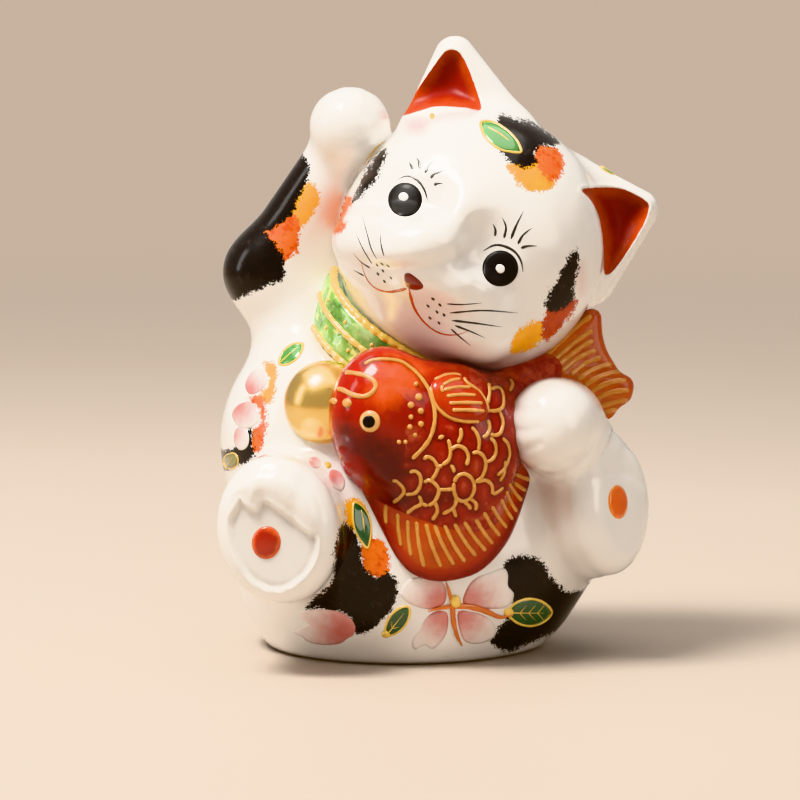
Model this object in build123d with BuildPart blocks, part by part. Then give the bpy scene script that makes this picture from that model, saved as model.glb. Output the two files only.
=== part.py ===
from build123d import *
import os
from collections import namedtuple
from math import sin, cos, radians

# Beckoning-cat figurine in slip-cast porcelain, holding a red fish.
# Frame: millimetres, +Z up, origin at the centre of the resting foot,
# the cat sits facing -Y, its right side toward -X.
os.makedirs("parts", exist_ok=True)

# ------------------------------------------------------------------ sizes ---
# Limbs are (start, start radius, end, end radius).
# Egg forms are (centre, axis, half length along the axis, radius).
Foot = namedtuple("Foot", "centre normal half_width half_height half_thickness")

SEAM = 0.12              # luting (slip) line left between joined pieces
POLE_CAP = 5             # degrees of arc left flat at the poles of egg forms

# body
BODY_WALL = 3.5
BODY_VENT_R = 5.0        # pour and vent hole in the underside
BODY_VENT_AT = (-2.0, 15.0)  # off centre, toward the back
BODY_VENT_DEPTH = BODY_WALL + 3
# columns: height, centre x, centre y, half width, half depth
BODY = [
    (0.0, -0.6, 3.0, 25.8, 22.3),
    (1.2, -0.6, 3.0, 27.7, 24.2),
    (4.0, -0.6, 3.0, 29.7, 26.1),
    (9.0, -0.6, 3.0, 32.0, 28.1),
    (16.0, -0.6, 3.0, 33.5, 29.3),
    (25.0, -1.2, 3.6, 33.6, 29.2),
    (35.0, -2.6, 4.9, 34.0, 28.2),
    (45.0, -3.0, 5.9, 33.9, 27.2),
    (55.0, -3.0, 6.0, 30.1, 24.1),
    (61.0, -2.6, 5.6, 25.0, 20.3),
    (67.0, 1.6, 3.6, 20.4, 18.1),
    (74.0, 6.0, 1.4, 16.8, 16.4),
]
CAVITY_FLOOR = 2         # index of the body oval that, moved up, starts the cavity

# head: tilted about the facing axis, nearly a ball flattened front to back
HEAD_CENTRE = (13.1, -2.2, 81.6)
HEAD_BACK = Vector(0.142, 0.965, -0.219)    # unit vector, front to back
HEAD_SIDE = Vector(0.807, -0.241, -0.540)   # toward the cat's left ear
HEAD_CROWN = Vector(0.574, 0.100, 0.813)    # toward the crown
HEAD_R = 26.6
HEAD_HALF_DEPTH = 23.5
HEAD_WALL = 3.0
# offsets from the head centre along side, back and crown
MUZZLE_OFFSET = (-1.0, -17.9, -9.0)
MUZZLE_R, MUZZLE_HALF = 8.4, 11.0
CHEEK_SIDE, CHEEK_BACK, CHEEK_CROWN = 12.0, -13.0, -12.0
CHEEK_R = 8.2
HEAD_VENT_PLANE = Plane(origin=(7.0, 1.0, 70.0), z_dir=(-0.35, 0.2, -0.9))
HEAD_VENT_R, HEAD_VENT_LENGTH = 3.0, 24

# ears: corners of the core triangle, which is then fattened all round
EAR_RIGHT = [(3.8, 3.7, 104.9), (20.0, 3.7, 105.0), (10.0, 7.4, 118.2)]
EAR_LEFT = [(34.4, 4.4, 93.8), (37.8, 1.9, 73.5), (46.7, 5.6, 87.6)]
EAR_HALF_T = 4.1
EAR_FACE_GROWTH = 1.2                # outline growth at the front and back faces
EAR_MID_GROWTH = EAR_HALF_T - 0.5    # outline growth through the middle
EAR_MID_T = EAR_HALF_T * 0.4         # half thickness of the full-width middle
SCOOP_SCALE, SCOOP_DEPTH, SCOOP_TAPER = 0.86, 3.6, 26

# raised right arm
ELBOW, ELBOW_R = (-27.2, 8.1, 75.1), 7.9
UPPER_ARM = ((-16.8, 9.1, 58.6), 11.0, ELBOW, ELBOW_R)
RAISED_FOREARM = (ELBOW, ELBOW_R, (-13.8, 6.7, 96.6), 6.8)
RAISED_PAW = ((-10.9, 1.7, 104.7), (0, 1, 0), 8.2, 8.6)

# left forearm, holding the fish
HOLDING_FOREARM = ((34.4, 13.1, 41.8), 7.5, (30.5, -12.5, 46.8), 8.8)
HOLDING_PAW = ((28.7, -19.5, 47.3), (0, 0, 1), 9.3, 8.9)

# legs (thigh to ankle) and feet (the normal points out of the sole)
LEG_RIGHT = ((-10.6, -1.7, 19.5), 18.0, (-22.2, -18.9, 27.4), 11.6)
LEG_LEFT = ((19.1, 0.0, 17.6), 17.0, (35.3, -5.6, 29.0), 10.5)
FOOT_RIGHT = Foot((-24.1, -27.8, 28.4), (-0.14, -0.99, 0.02), 12.0, 14.5, 8.0)
FOOT_LEFT = Foot((38.6, -11.4, 30.7), (0.76, -0.63, 0.16), 11.0, 14.2, 6.0)
# columns: place through the thickness (-1 ankle side, 1 sole), scale of the oval
FOOT_SECTIONS = [(-1.0, 0.62), (-0.72, 0.9), (-0.2, 1.0), (0.3, 1.0), (0.82, 0.9), (1.0, 0.74)]
GROOVE_DEPTH = 0.6       # shallow oval groove in the sole
GROOVE_OUTER, GROOVE_INNER = 0.72, 0.66   # as fractions of the foot oval
PAD_T = 0.9              # raised sole pad
PAD_RIGHT = (2.9, 3.3)   # half width, half height
PAD_LEFT = (2.7, 3.3)
PAD_ROUND = 0.7

# red fish, held belly up
FISH_AXIS = (0.0, 0.1, 1.0)
FISH_BACKWARD = (0, 0.993, -0.122)       # into the fish from its front
FISH_HEAD = ((-4.3, -22.7, 49.5), (0.05, 0.1, 1.0), 13.4, 10.7)
FISH_BODY = ((8.4, -19.6, 42.5), FISH_AXIS, 17.3, 13.0)
PEDUNCLE = ((12.7, -15.6, 46.4), 9.0, (27.7, -7.2, 56.7), 3.6)
FISH_SKIN_T = 0.9

DORSAL_CENTRE, DORSAL_HALF, DORSAL_R = (8.7, -26.0, 39.4), 21.4, 16.3
DORSAL_T = 5.0
DORSAL_WINDOW = (40, 36)     # width and height of the slab kept from the egg form
DORSAL_DROP = 11             # window centre below the egg form's centre

PECTORAL_AT, PECTORAL_SIZE, PECTORAL_REACH = (10.3, -44.6, 55.7), (5.6, 4.3), 22
FISH_EYE_AT, FISH_EYE_R, FISH_EYE_REACH = (-6.7, -45.2, 51.5), 2.15, 20

TAIL_FIN_T = 3.8
TAIL_FIN_Y = -4.5            # middle of the fin's thickness
TAIL_FIN_ROUND = 1.0
# columns: x, z
TAIL_FIN = [
    (25.0, 55.4), (36.6, 67.2), (38.0, 61.6), (43.6, 56.6),
    (44.4, 52.4), (40.2, 47.4), (36.0, 51.0), (30.5, 54.2),
]

# collar and bell
COLLAR_CENTRE = (0.2, 5.5, 61.9)
COLLAR_DIRECTION = (0.449, -0.304, 0.840)
COLLAR_AXIS = Axis(COLLAR_CENTRE, Vector(COLLAR_DIRECTION).normalized())
COLLAR_IN, COLLAR_OUT, COLLAR_HALF_H = 17.6, 21.1, 4.8
COLLAR_MID = (COLLAR_IN + COLLAR_OUT) / 2
COLLAR_ROUND = 1.2
BELL_R = 8.6
BELL = ((-15.3, -15.5, 51.2), (0, 0, 1), BELL_R, BELL_R)

# bobtail
TAIL = ((-6.0, 30.0, 12.0), 8.0, (4.0, 33.5, 15.0), 6.6)

# enamel on the face: starting centre in front of it, (half width, half height)
ENAMEL_T = 0.7
ENAMEL_REACH = 30
RIGHT_EYE = ((-2.9, -38.8, 95.9), (3.5, 3.4))
LEFT_EYE = ((15.5, -44.5, 83.0), (3.5, 3.5))
NOSE = ((-1.5, -47.5, 80.9), (1.9, 1.3))

# block below the resting plane
GROUND_SIDE, GROUND_DEPTH = 200, 60


# ------------------------------------------------------------ basic forms ---
# Forms add themselves to the part being built. Their sketches don't join that
# part by themselves, so each is handed to revolve, loft or extrude by name.
def ray_plane(origin, direction):
    """Plane through origin whose local x runs along direction."""
    along = Vector(direction).normalized()
    ref = Vector(0, 0, 1) if abs(along.Z) < 0.9 else Vector(1, 0, 0)
    return Plane(origin=origin, x_dir=along, z_dir=along.cross(ref).normalized())


def spheroid(centre, axis, half, radius, grow=0.0, mode=Mode.ADD):
    """Egg form: half an ellipse turned about an axis, with a tiny flat at each pole."""
    half, radius = half + grow, radius + grow
    angles = (POLE_CAP, *range(15, 180, 15), 180 - POLE_CAP)
    points = [(half * cos(radians(t)), radius * sin(radians(t))) for t in angles]
    first, last = points[0], points[-1]
    with BuildSketch(ray_plane(centre, axis)) as profile:
        with BuildLine():
            Spline(*points)
            Polyline(last, (last[0], 0), (first[0], 0), first)
        make_face()
    revolve(profile.sketch, axis=Axis(centre, Vector(axis).normalized()), mode=mode)


def limb(start, start_r, end, end_r, grow=0.0):
    """Two round ends of different size with the tangent cone between them."""
    span = Vector(end) - Vector(start)
    length = span.length
    start_r, end_r = start_r + grow, end_r + grow
    # sine and cosine of the cone's half angle
    slope = (start_r - end_r) / length
    rise = (1 - slope * slope) ** 0.5
    start_tangent = (slope * start_r, rise * start_r)
    end_tangent = (length + slope * end_r, rise * end_r)
    start_mid = (-start_r * sin(radians(45)), start_r * cos(radians(45)))
    end_mid = (length + end_r * cos(radians(30)), end_r * sin(radians(30)))
    with BuildSketch(ray_plane(start, span)) as profile:
        with BuildLine():
            ThreePointArc((-start_r, 0), start_mid, start_tangent)
            Line(start_tangent, end_tangent)
            ThreePointArc(end_tangent, end_mid, (length + end_r, 0))
            Line((length + end_r, 0), (-start_r, 0))
        make_face()
    revolve(profile.sketch, axis=Axis(start, span.normalized()))


def body_form(grow=0.0):
    """Stack of ovals lofted into the seated body."""
    ovals = []
    for z, center_x, center_y, half_w, half_d in BODY:
        level = z - grow if z == 0.0 else z
        with BuildSketch(Plane(origin=(center_x, center_y, level))) as oval:
            Ellipse(half_w + grow, half_d + grow)
        ovals.append(oval.sketch.face())
    loft(ovals)


def head_point(side, back, crown):
    """Point given by its offsets from the head centre in the tilted head frame."""
    return Vector(HEAD_CENTRE) + HEAD_SIDE * side + HEAD_BACK * back + HEAD_CROWN * crown


def head_form(grow=0.0):
    """Skull, muzzle and two cheeks."""
    spheroid(HEAD_CENTRE, HEAD_BACK, HEAD_HALF_DEPTH, HEAD_R, grow)
    spheroid(head_point(*MUZZLE_OFFSET), HEAD_SIDE, MUZZLE_HALF, MUZZLE_R, grow)
    for sign in (-1, 1):
        cheek = head_point(CHEEK_SIDE * sign, CHEEK_BACK, CHEEK_CROWN)
        spheroid(cheek, HEAD_BACK, CHEEK_R, CHEEK_R, grow)


def raised_arm_form(grow=0.0):
    limb(*UPPER_ARM, grow)
    limb(*RAISED_FOREARM, grow)
    spheroid(*RAISED_PAW, grow)


def holding_arm_form(grow=0.0):
    limb(*HOLDING_FOREARM, grow)
    spheroid(*HOLDING_PAW, grow)


def foot_plane(foot, distance):
    """Plane facing out of the sole, at a distance from the foot's centre along its normal."""
    normal = Vector(foot.normal).normalized()
    up = (Vector(0, 0, 1) - normal * normal.Z).normalized()
    origin = Vector(foot.centre) + normal * distance
    return Plane(origin=origin, x_dir=up.cross(normal), z_dir=normal)


def foot_form(foot, grow=0.0):
    """Thick oval puck with a rounded rim."""
    ovals = []
    for place, scale in FOOT_SECTIONS:
        with BuildSketch(foot_plane(foot, place * (foot.half_thickness + grow))) as oval:
            Ellipse(foot.half_width * scale + grow, foot.half_height * scale + grow)
        ovals.append(oval.sketch.face())
    loft(ovals)


def fish_form(grow=0.0):
    spheroid(*FISH_HEAD, grow)
    spheroid(*FISH_BODY, grow)
    limb(*PEDUNCLE, grow)


def ear_form(corners):
    """Fattened triangle with bevelled faces and a scoop in the front."""
    a, b, c = (Vector(corner) for corner in corners)
    normal = (b - a).cross(c - a).normalized()
    if normal.Y > 0:
        normal = normal * -1
    side = (b - a).normalized()
    up = normal.cross(side)
    middle = (a + b + c) * (1 / 3)
    outline = [((p - middle).dot(side), (p - middle).dot(up)) for p in (a, b, c)]
    slices = []
    for level, growth in (
        (-EAR_HALF_T, EAR_FACE_GROWTH),
        (-EAR_MID_T, EAR_MID_GROWTH),
        (EAR_MID_T, EAR_MID_GROWTH),
        (EAR_HALF_T, EAR_FACE_GROWTH),
    ):
        plane = Plane(origin=middle + normal * level, x_dir=side, z_dir=normal)
        with BuildSketch(plane) as section:
            with BuildLine():
                Polyline(*outline, close=True)
            make_face()
            offset(amount=growth)
        slices.append(section.sketch.face())
    loft(slices, ruled=True)
    # the scoop starts just proud of the front so that it cuts cleanly
    front = Plane(origin=middle + normal * (EAR_HALF_T + 0.01), x_dir=side, z_dir=normal)
    with BuildSketch(front) as mouth:
        with BuildLine():
            Polyline(*[(x * SCOOP_SCALE, y * SCOOP_SCALE) for x, y in outline], close=True)
        make_face()
    extrude(mouth.sketch, amount=-SCOOP_DEPTH, taper=SCOOP_TAPER, mode=Mode.SUBTRACT)


def solid_of(form, *sizes):
    """The part that one form makes on its own."""
    with BuildPart() as solid:
        form(*sizes)
    return solid.part


def cut_away(*others):
    """Subtract other parts, in order, from the part being built."""
    for other in others:
        add(other, mode=Mode.SUBTRACT)


# ------------------------------------------- clearance forms for the seams ---
def make_collar_clear():
    with BuildPart() as ring:
        with BuildSketch(ray_plane(COLLAR_CENTRE, COLLAR_DIRECTION)):
            with Locations((0, COLLAR_MID)):
                Rectangle(2 * COLLAR_HALF_H + 2 * SEAM, COLLAR_OUT - COLLAR_IN + 2 * SEAM)
        revolve(axis=COLLAR_AXIS)
    return ring.part


def make_ground():
    with BuildPart() as block:
        with BuildSketch(Plane.XY):
            Rectangle(GROUND_SIDE, GROUND_SIDE)
        extrude(amount=-GROUND_DEPTH)
    return block.part


head_clear = solid_of(head_form, SEAM)
body_clear = solid_of(body_form, SEAM)
raised_arm_clear = solid_of(raised_arm_form, SEAM)
holding_arm_clear = solid_of(holding_arm_form, SEAM)
fish_clear = solid_of(fish_form, SEAM)
leg_r_clear = solid_of(limb, *LEG_RIGHT, SEAM)
foot_r_clear = solid_of(foot_form, FOOT_RIGHT, SEAM)
leg_l_clear = solid_of(limb, *LEG_LEFT, SEAM)
foot_l_clear = solid_of(foot_form, FOOT_LEFT, SEAM)
collar_clear = make_collar_clear()
ground = make_ground()
around_fish = (
    body_clear, head_clear, leg_r_clear, foot_r_clear,
    leg_l_clear, foot_l_clear, holding_arm_clear,
)

# skins that raised details are cut from
head_skin = solid_of(head_form, ENAMEL_T)
fish_skin = solid_of(fish_form, FISH_SKIN_T)


# ---------------------------------------------------------- body and head ---
def make_torso_shell():
    with BuildPart() as shell:
        body_form()
        # cavity: the same ovals inset by the wall, the lowest moved onto the floor
        for i, (z, center_x, center_y, half_w, half_d) in enumerate(BODY[CAVITY_FLOOR:-1]):
            level = BODY_WALL if i == 0 else z
            with BuildSketch(Plane(origin=(center_x, center_y, level))):
                Ellipse(half_w - BODY_WALL, half_d - BODY_WALL)
        loft(mode=Mode.SUBTRACT)
        with BuildSketch(Plane.XY):
            with Locations(BODY_VENT_AT):
                Circle(BODY_VENT_R)
        extrude(amount=BODY_VENT_DEPTH, mode=Mode.SUBTRACT)
        cut_away(head_clear)
    return shell.part


def make_head_shell():
    with BuildPart() as shell:
        head_form()
        spheroid(HEAD_CENTRE, HEAD_BACK, HEAD_HALF_DEPTH - HEAD_WALL, HEAD_R - HEAD_WALL,
                 mode=Mode.SUBTRACT)
        # air vent from the head down the neck
        with BuildSketch(HEAD_VENT_PLANE):
            Circle(HEAD_VENT_R)
        extrude(amount=HEAD_VENT_LENGTH, mode=Mode.SUBTRACT)
    return shell.part


def make_ear(corners):
    with BuildPart() as ear:
        ear_form(corners)
        cut_away(head_clear)
    return ear.part


# ---------------------------------------------------- arms, legs and tail ---
def make_raised_arm():
    with BuildPart() as arm:
        raised_arm_form()
        cut_away(body_clear, head_clear)
    return arm.part


def make_holding_arm():
    with BuildPart() as arm:
        holding_arm_form()
        cut_away(body_clear, head_clear, leg_l_clear, foot_l_clear)
    return arm.part


def make_leg(leg, foot):
    """Leg and foot in one piece, with the oval groove in the sole."""
    with BuildPart() as piece:
        limb(*leg)
        foot_form(foot)
        with BuildSketch(foot_plane(foot, foot.half_thickness)):
            Ellipse(foot.half_width * GROOVE_OUTER, foot.half_height * GROOVE_OUTER)
            Ellipse(foot.half_width * GROOVE_INNER, foot.half_height * GROOVE_INNER,
                    mode=Mode.SUBTRACT)
        extrude(amount=-GROOVE_DEPTH, mode=Mode.SUBTRACT)
        cut_away(body_clear, ground)
    return piece.part


def make_sole_pad(foot, size):
    """Oval pad on the sole, its outer edge rounded."""
    sole = foot_plane(foot, foot.half_thickness)
    with BuildPart() as pad:
        with BuildSketch(sole.offset(SEAM)):
            Ellipse(*size)
        extrude(amount=PAD_T)
        by_height = pad.edges().sort_by(lambda edge: (edge.center() - sole.origin).dot(sole.z_dir))
        fillet(by_height[-1:], PAD_ROUND)
    return pad.part


def make_tail():
    with BuildPart() as tail:
        limb(*TAIL)
        cut_away(body_clear)
    return tail.part


# --------------------------------------------------------- raised details ---
def make_patch(plane, shape, sizes, reach, skin, *clearances):
    """Thin patch: an outline pushed back through a skin, less what lies under it."""
    with BuildPart() as patch:
        with BuildSketch(plane):
            shape(*sizes)
        extrude(amount=reach)
        add(skin, mode=Mode.INTERSECT)
        cut_away(*clearances)
    return patch.part


def make_face_spot(centre, size):
    """Oval of thick enamel lying on the face."""
    plane = Plane(origin=centre, x_dir=HEAD_SIDE, z_dir=HEAD_BACK)
    return make_patch(plane, Ellipse, size, ENAMEL_REACH, head_skin, head_clear)


# ------------------------------------------------------------------- fish ---
def fish_plane(origin):
    """Plane facing back into the fish; its local y points down."""
    return Plane(origin=origin, x_dir=(1, 0, 0), z_dir=FISH_BACKWARD)


def make_fish_body():
    with BuildPart() as fish:
        fish_form()
        cut_away(*around_fish)
    return fish.part


def make_dorsal_fin():
    """Upright slab from the middle and lower part of an egg form, below the fish."""
    x, y, z = DORSAL_CENTRE
    with BuildPart() as fin:
        spheroid(DORSAL_CENTRE, FISH_AXIS, DORSAL_HALF, DORSAL_R)
        with BuildSketch(fish_plane((x, y - DORSAL_T / 2, z))):
            with Locations((0, DORSAL_DROP)):
                Rectangle(*DORSAL_WINDOW)
        extrude(amount=DORSAL_T, mode=Mode.INTERSECT)
        cut_away(fish_clear, *around_fish)
    return fin.part


def make_pectoral_fin():
    """Raised oval lying on the flank."""
    return make_patch(fish_plane(PECTORAL_AT), Ellipse, PECTORAL_SIZE, PECTORAL_REACH,
                      fish_skin, fish_clear, body_clear, head_clear, holding_arm_clear)


def make_tail_fin():
    front = Plane(origin=(0, TAIL_FIN_Y - TAIL_FIN_T / 2, 0), x_dir=(1, 0, 0), z_dir=(0, -1, 0))
    with BuildPart() as fin:
        with BuildSketch(front):
            with BuildLine():
                Polyline(*TAIL_FIN, close=True)
            make_face()
            fillet(vertices(), TAIL_FIN_ROUND)
        extrude(amount=-TAIL_FIN_T)
        cut_away(fish_clear, body_clear, head_clear, holding_arm_clear)
    return fin.part


def make_fish_eye():
    return make_patch(fish_plane(FISH_EYE_AT), Circle, (FISH_EYE_R,), FISH_EYE_REACH,
                      fish_skin, fish_clear)


# -------------------------------------------------------- collar and bell ---
def make_collar_band():
    with BuildPart() as band:
        with BuildSketch(ray_plane(COLLAR_CENTRE, COLLAR_DIRECTION)):
            with Locations((0, COLLAR_MID)):
                RectangleRounded(2 * COLLAR_HALF_H, COLLAR_OUT - COLLAR_IN, COLLAR_ROUND)
        revolve(axis=COLLAR_AXIS)
        cut_away(body_clear, head_clear, raised_arm_clear, fish_clear)
    return band.part


def make_bell():
    with BuildPart() as bell:
        spheroid(*BELL)
        cut_away(body_clear, head_clear, fish_clear, collar_clear, leg_r_clear, foot_r_clear)
    return bell.part


# ------------------------------------------------------------------ write ---
pieces = {
    "torso_shell": make_torso_shell(),
    "head_shell": make_head_shell(),
    "right_ear": make_ear(EAR_RIGHT),
    "left_ear": make_ear(EAR_LEFT),
    "raised_arm": make_raised_arm(),
    "holding_arm": make_holding_arm(),
    "right_leg": make_leg(LEG_RIGHT, FOOT_RIGHT),
    "left_leg": make_leg(LEG_LEFT, FOOT_LEFT),
    "right_sole_pad": make_sole_pad(FOOT_RIGHT, PAD_RIGHT),
    "left_sole_pad": make_sole_pad(FOOT_LEFT, PAD_LEFT),
    "fish_body": make_fish_body(),
    "fish_dorsal_fin": make_dorsal_fin(),
    "fish_pectoral_fin": make_pectoral_fin(),
    "fish_tail_fin": make_tail_fin(),
    "fish_eye": make_fish_eye(),
    "collar_band": make_collar_band(),
    "bell": make_bell(),
    "tail": make_tail(),
    "right_eye": make_face_spot(*RIGHT_EYE),
    "left_eye": make_face_spot(*LEFT_EYE),
    "nose": make_face_spot(*NOSE),
}
for name, piece in pieces.items():
    piece.label = name
    export_step(piece, f"parts/{name}.step")
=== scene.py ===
"""A seated porcelain cat with one paw raised and a red fish held against its front.

Everything is laid out in millimetres and written to the meshes in metres. The cat stands
on z = 0 and faces -y. Left and right are the cat's own, so its right side is toward -x.
The forms are distance fields (negative inside) turned into quad meshes. Paint, relief and
raised enamel are laid out on flat views of the form and carried onto its surface.
"""
from itertools import count
from math import sin, cos, radians, pi

import bpy
import numpy as np
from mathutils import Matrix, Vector
from mathutils.bvhtree import BVHTree


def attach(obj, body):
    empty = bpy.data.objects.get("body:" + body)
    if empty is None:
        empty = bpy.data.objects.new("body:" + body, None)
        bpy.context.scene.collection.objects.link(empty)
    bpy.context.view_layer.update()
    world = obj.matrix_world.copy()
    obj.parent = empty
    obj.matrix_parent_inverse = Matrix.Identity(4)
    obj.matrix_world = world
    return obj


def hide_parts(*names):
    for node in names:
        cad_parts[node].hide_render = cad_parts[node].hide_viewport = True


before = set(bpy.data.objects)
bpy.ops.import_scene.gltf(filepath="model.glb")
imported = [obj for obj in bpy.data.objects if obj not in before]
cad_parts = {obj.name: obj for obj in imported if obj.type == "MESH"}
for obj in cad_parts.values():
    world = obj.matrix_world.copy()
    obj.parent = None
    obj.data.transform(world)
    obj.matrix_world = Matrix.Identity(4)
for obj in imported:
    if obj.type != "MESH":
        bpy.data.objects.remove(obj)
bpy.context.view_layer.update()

CELL = 0.5      # mesh cell
BAND_CELLS = 4                    # mesh cells along one coarse search cell
METRES = 0.001                    # metres in a millimetre
EYE_DISTANCE = 800.0              # from each view's eye to its target
VIEW_TARGET = np.array([-1.0, 0.0, 50.0])


# ------------------------------------------------------------------ views ---
class View:
    """Perspective view: x to its right and y up, on the plane through the target.

    Depth is measured beyond that plane, away from the eye.
    """

    def __init__(self, azimuth, elevation):
        turn, tilt = radians(azimuth), radians(elevation)
        self.right = np.array([cos(turn), sin(turn), 0.0])
        self.away = np.array([-sin(turn) * cos(tilt), cos(turn) * cos(tilt), -sin(tilt)])
        self.up = np.cross(self.right, self.away)
        self.eye = VIEW_TARGET - self.away * EYE_DISTANCE

    def at(self, x, y, depth):
        """Point in space seen at x, y and lying at this depth."""
        spread = 1 + depth / EYE_DISTANCE
        return VIEW_TARGET + x * spread * self.right + y * spread * self.up + depth * self.away

    def project(self, points):
        offset = points - VIEW_TARGET
        depth = offset @ self.away
        spread = 1 + depth / EYE_DISTANCE
        return offset @ self.right / spread, offset @ self.up / spread, depth

    def ray(self, x, y):
        return unit(self.away * EYE_DISTANCE + x * self.right + y * self.up)


def unit(vector):
    vector = np.asarray(vector, float)
    return vector / np.linalg.norm(vector)


FRONT = View(0, 7)
BACK = View(180, 8)
ABOVE = View(0, 55)
at = FRONT.at


# ------------------------------------------------------- lines and outlines ---
def xy(text):
    """Points from a table of x,y pairs, in mm on a view."""
    return np.array([[float(value) for value in pair.split(",")] for pair in text.split()])


def spline(points, steps=8, closed=False):
    """Catmull-Rom curve through the points."""
    p = np.asarray(points, float)
    if closed:
        p = np.concatenate([p[-1:], p, p[:2]])
    else:
        p = np.concatenate([2 * p[:1] - p[1:2], p, 2 * p[-1:] - p[-2:-1]])
    curve = []
    for i in range(1, len(p) - 2):
        before, start, end, after = p[i - 1:i + 3]
        for k in range(steps):
            t = k / steps
            curve.append(0.5 * (2 * start + (end - before) * t
                                + (2 * before - 5 * start + 4 * end - after) * t * t
                                + (3 * start - before - 3 * end + after) * t ** 3))
    if not closed:
        curve.append(p[-2])
    return np.array(curve)


def segment_square(offset, side):
    """Squared distance to a segment, from offsets measured from its start."""
    along = np.clip((offset @ side) / max(side @ side, 1e-9), 0, 1)
    rest = offset - along[:, None] * side
    return (rest * rest).sum(-1)


def line_distance(x, y, line):
    points = np.stack([x, y], 1)
    square = np.full(len(points), 1e9)
    for start, end in zip(line[:-1], line[1:]):
        square = np.minimum(square, segment_square(points - start, end - start))
    return np.sqrt(square)


def outline_distance(x, y, outline):
    """Distance to a closed outline, negative inside."""
    inside = np.zeros(len(x), bool)
    for (x0, y0), (x1, y1) in zip(outline, np.roll(outline, -1, 0)):
        spans = (y0 > y) != (y1 > y)
        with np.errstate(divide="ignore", invalid="ignore"):
            inside ^= spans & (x < (x1 - x0) * (y - y0) / (y1 - y0) + x0)
    edge = line_distance(x, y, np.concatenate([outline, outline[:1]]))
    return np.where(inside, -edge, edge)


def ease(start, end, value):
    """0 at start and 1 at end, smooth between."""
    t = np.clip((value - start) / (end - start), 0, 1)
    return t * t * (3 - 2 * t)


# -------------------------------------------------------- distance fields ---
def length(vectors):
    return np.sqrt((vectors * vectors).sum(-1))


def ellipsoid(p, centre, radii, axes=None):
    offset = p - centre
    if axes is not None:
        offset = offset @ axes
    radii = np.asarray(radii, float)
    scaled = length(offset / radii)
    slope = length(offset / (radii * radii))
    return scaled * (scaled - 1.0) / np.maximum(slope, 1e-9)


def sphere(p, centre, radius):
    return length(p - centre) - radius


def round_cone(p, start, end, start_radius, end_radius):
    """Hull of two balls."""
    axis = end - start
    square = axis @ axis
    drop = start_radius - end_radius
    slant = square - drop * drop
    inverse = 1.0 / square
    offset = p - start
    along = offset @ axis
    past = along - square
    across_sq = ((offset * square - np.outer(along, axis)) ** 2).sum(-1)
    along_sq = along * along * square
    past_sq = past * past * square
    limit = np.sign(drop) * drop * drop * across_sq
    flank = (np.sqrt(across_sq * slant * inverse) + along * drop) * inverse - start_radius
    at_end = np.sign(past) * slant * past_sq > limit
    at_start = ~at_end & (np.sign(along) * slant * along_sq < limit)
    field = np.where(at_end, np.sqrt(across_sq + past_sq) * inverse - end_radius, flank)
    return np.where(at_start, np.sqrt(across_sq + along_sq) * inverse - start_radius, field)


def triangle(p, *corners):
    """Unsigned distance to a flat triangle."""
    corners = np.array(corners)
    sides = np.roll(corners, -1, 0) - corners
    normal = np.cross(sides[0], sides[2])
    over, edge = 0, 1e9
    for corner, side in zip(corners, sides):
        over = over + np.sign((p - corner) @ np.cross(side, normal))
        edge = np.minimum(edge, segment_square(p - corner, side))
    plane = ((p - corners[0]) @ normal) ** 2 / (normal @ normal)
    return np.sqrt(np.where(over < 2.0, edge, plane))


def join(first, second, width):
    """Union with a fillet of this width."""
    share = np.clip(0.5 + 0.5 * (second - first) / width, 0, 1)
    return second * (1 - share) + first * share - width * share * (1 - share)


def meet(first, second, width):
    """Intersection with its edge eased over this width."""
    return -join(-first, -second, width)


def rounded(across, through, radius):
    """Intersection of two fields with a rounded edge."""
    a = across + radius
    b = through + radius
    outside = np.sqrt(np.maximum(a, 0) ** 2 + np.maximum(b, 0) ** 2)
    return np.minimum(np.maximum(a, b), 0) + outside - radius


def rotation(axis, degrees):
    x, y, z = unit(axis)
    turn = radians(degrees)
    skew = np.array([[0, -z, y], [z, 0, -x], [-y, x, 0]])
    return np.eye(3) + sin(turn) * skew + (1 - cos(turn)) * skew @ skew


# -------------------------------------------------------------- head, ears ---
HEAD_TILT = radians(35)
HEAD_CENTRE = at(14.2, 31.3, -6.0)
_side = cos(HEAD_TILT) * FRONT.right - sin(HEAD_TILT) * FRONT.up
_crown = sin(HEAD_TILT) * FRONT.right + cos(HEAD_TILT) * FRONT.up
# columns: sideways, backward, toward the crown
HEAD_AXES = rotation(_crown, -10.0) @ np.stack([_side, FRONT.away, _crown], 1)

EAR_RADIUS = 4.1
RIGHT_EAR = at(4.8, 55.2, -3), at(21.6, 55.2, -3), at(11, 68.7, -1)
LEFT_EAR = at(35, 44.6, -1), at(38.8, 23.6, -1), at(47.6, 38, 1)


def head_field(p):
    def lump(centre, radii):
        return ellipsoid(p, HEAD_CENTRE + HEAD_AXES @ np.array(centre), radii, HEAD_AXES)

    field = lump((0.0, 0.0, 0.0), (26.4, 23.5, 26.9))
    field = join(field, lump((-1.0, -19.6, -8.6), (11.2, 8.8, 6.8)), 6.0)      # snout
    field = join(field, lump((-2.0, -21.4, -2.0), (5.0, 5.0, 8.4)), 6.5)       # bridge
    for side in (-1, 1):
        field = join(field, lump((side * 12.0, -13.0, -12.0), (8.5, 8.0, 7.5)), 5.0)
        field = meet(field, -lump((side * 8.0, -25.6, 0.5), (4.6, 3.4, 5.4)), 5.0)
    return field


def right_ear_field(p):
    return triangle(p, *RIGHT_EAR) - EAR_RADIUS


def left_ear_field(p):
    return triangle(p, *LEFT_EAR) - EAR_RADIUS


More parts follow.
